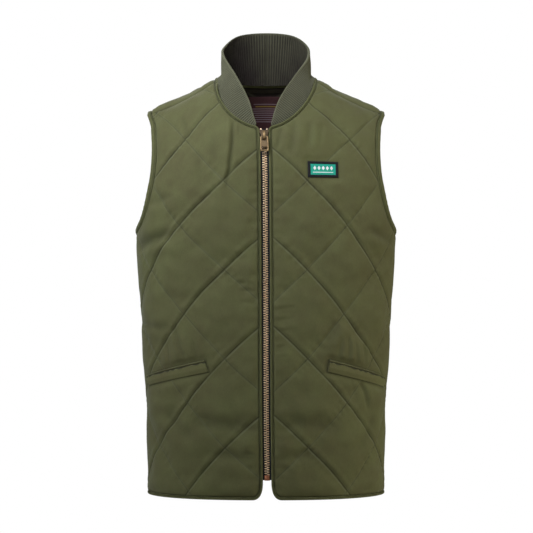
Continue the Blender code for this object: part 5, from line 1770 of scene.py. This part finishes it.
class GILET_OT_stage(bpy.types.Operator):
    """Camera, pale floor and soft studio light"""
    bl_idname = "gilet.stage"
    bl_label = "Stage"

    def execute(self, context):
        sizes = context.scene.gilet_stage
        scene = context.scene
        scene.view_settings.view_transform = "Standard"
        data = bpy.data.cameras.new("camera")
        data.sensor_width = 36.0
        data.lens = sizes.lens
        camera = bpy.data.objects.new("camera", data)
        camera.location = (CAMERA_ASIDE, -sizes.distance, sizes.eye)
        camera.rotation_euler = (math.radians(90), 0, 0)
        scene.collection.objects.link(camera)
        scene.camera = camera
        self.floor()
        self.world(scene)
        for name, place, aim, size, share, colour, spread in LAMPS:
            lamp(name, place, aim, size, sizes.key * share, colour, spread)
        return {"FINISHED"}

    def floor(self):
        """A level floor well below the garment, paler where the camera sees it."""
        x, y = np.meshgrid(np.linspace(-4, 4, 9), np.linspace(-4, 3, 8))
        points = np.stack([x, y, np.full_like(x, FLOOR_LEVEL)], axis=-1).reshape(-1, 3)
        mesh = bpy.data.meshes.new("floor")
        mesh.from_pydata(points.tolist(), [], quads(8, 9).tolist())
        made = bpy.data.materials.new("pale_floor")
        made.use_nodes = True
        tree = made.node_tree
        shader = tree.nodes["Principled BSDF"].inputs
        shader["Roughness"].default_value = 0.9
        shader["Emission Strength"].default_value = 1.0
        put(tree, blended(noise(tree, 3.0), (0.8, 0.8, 0.79), (0.84, 0.84, 0.83)), shader["Base Color"])
        seen = Wire(tree, tree.nodes.new("ShaderNodeLightPath").outputs["Is Camera Ray"])
        put(tree, blended(seen, (0.0, 0.0, 0.0), (0.56, 0.56, 0.55)), shader["Emission Color"])
        mesh.materials.append(made)
        floor = bpy.data.objects.new("floor", mesh)
        bpy.context.scene.collection.objects.link(floor)

    def world(self, scene):
        """White where the camera looks past the garment, and a softer even light on it."""
        made = bpy.data.worlds.new("studio")
        made.use_nodes = True
        tree = made.node_tree
        tree.nodes.clear()
        path = tree.nodes.new("ShaderNodeLightPath")
        mixed = tree.nodes.new("ShaderNodeMixShader")
        out = tree.nodes.new("ShaderNodeOutputWorld")
        tree.links.new(path.outputs["Is Camera Ray"], mixed.inputs[0])
        for place, strength in ((1, EVEN_LIGHT), (2, 1.0)):
            light = tree.nodes.new("ShaderNodeBackground")
            light.inputs["Color"].default_value = (1, 1, 1, 1)
            light.inputs["Strength"].default_value = strength
            tree.links.new(light.outputs[0], mixed.inputs[place])
        tree.links.new(mixed.outputs[0], out.inputs["Surface"])
        scene.world = made


STEPS = (GILET_OT_fronts, GILET_OT_back, GILET_OT_bands, GILET_OT_collar, GILET_OT_pockets, GILET_OT_zip,
         GILET_OT_slider, GILET_OT_sewn_on, GILET_OT_cloth_facts, GILET_OT_stage)


class GILET_PT_steps(bpy.types.Panel):
    """Sizes and steps of the gilet"""
    bl_idname = "GILET_PT_steps"
    bl_label = "Gilet"
    bl_space_type = "VIEW_3D"
    bl_region_type = "UI"
    bl_category = "Gilet"

    def draw(self, context):
        for group in (context.scene.gilet_cloth, context.scene.gilet_zip, context.scene.gilet_stage):
            column = self.layout.column(align=True)
            for name in group.__annotations__:
                column.prop(group, name)
        for step in STEPS:
            self.layout.operator(step.bl_idname)


CLASSES = (ClothSizes, ZipSizes, StageSizes, *STEPS, GILET_PT_steps)


def register():
    for made in CLASSES:
        bpy.utils.register_class(made)
    bpy.types.Scene.gilet_cloth = bpy.props.PointerProperty(type=ClothSizes)
    bpy.types.Scene.gilet_zip = bpy.props.PointerProperty(type=ZipSizes)
    bpy.types.Scene.gilet_stage = bpy.props.PointerProperty(type=StageSizes)


def unregister():
    del bpy.types.Scene.gilet_stage
    del bpy.types.Scene.gilet_zip
    del bpy.types.Scene.gilet_cloth
    for made in reversed(CLASSES):
        bpy.utils.unregister_class(made)


def main():
    register()
    bpy.ops.gilet.fronts()
    bpy.ops.gilet.back()
    bpy.ops.gilet.bands()
    bpy.ops.gilet.collar()
    bpy.ops.gilet.pockets()
    bpy.ops.gilet.zip()
    bpy.ops.gilet.slider()
    bpy.ops.gilet.sewn_on()
    bpy.ops.gilet.cloth_facts()
    bpy.ops.gilet.stage()


if __name__ == "__main__":
    main()
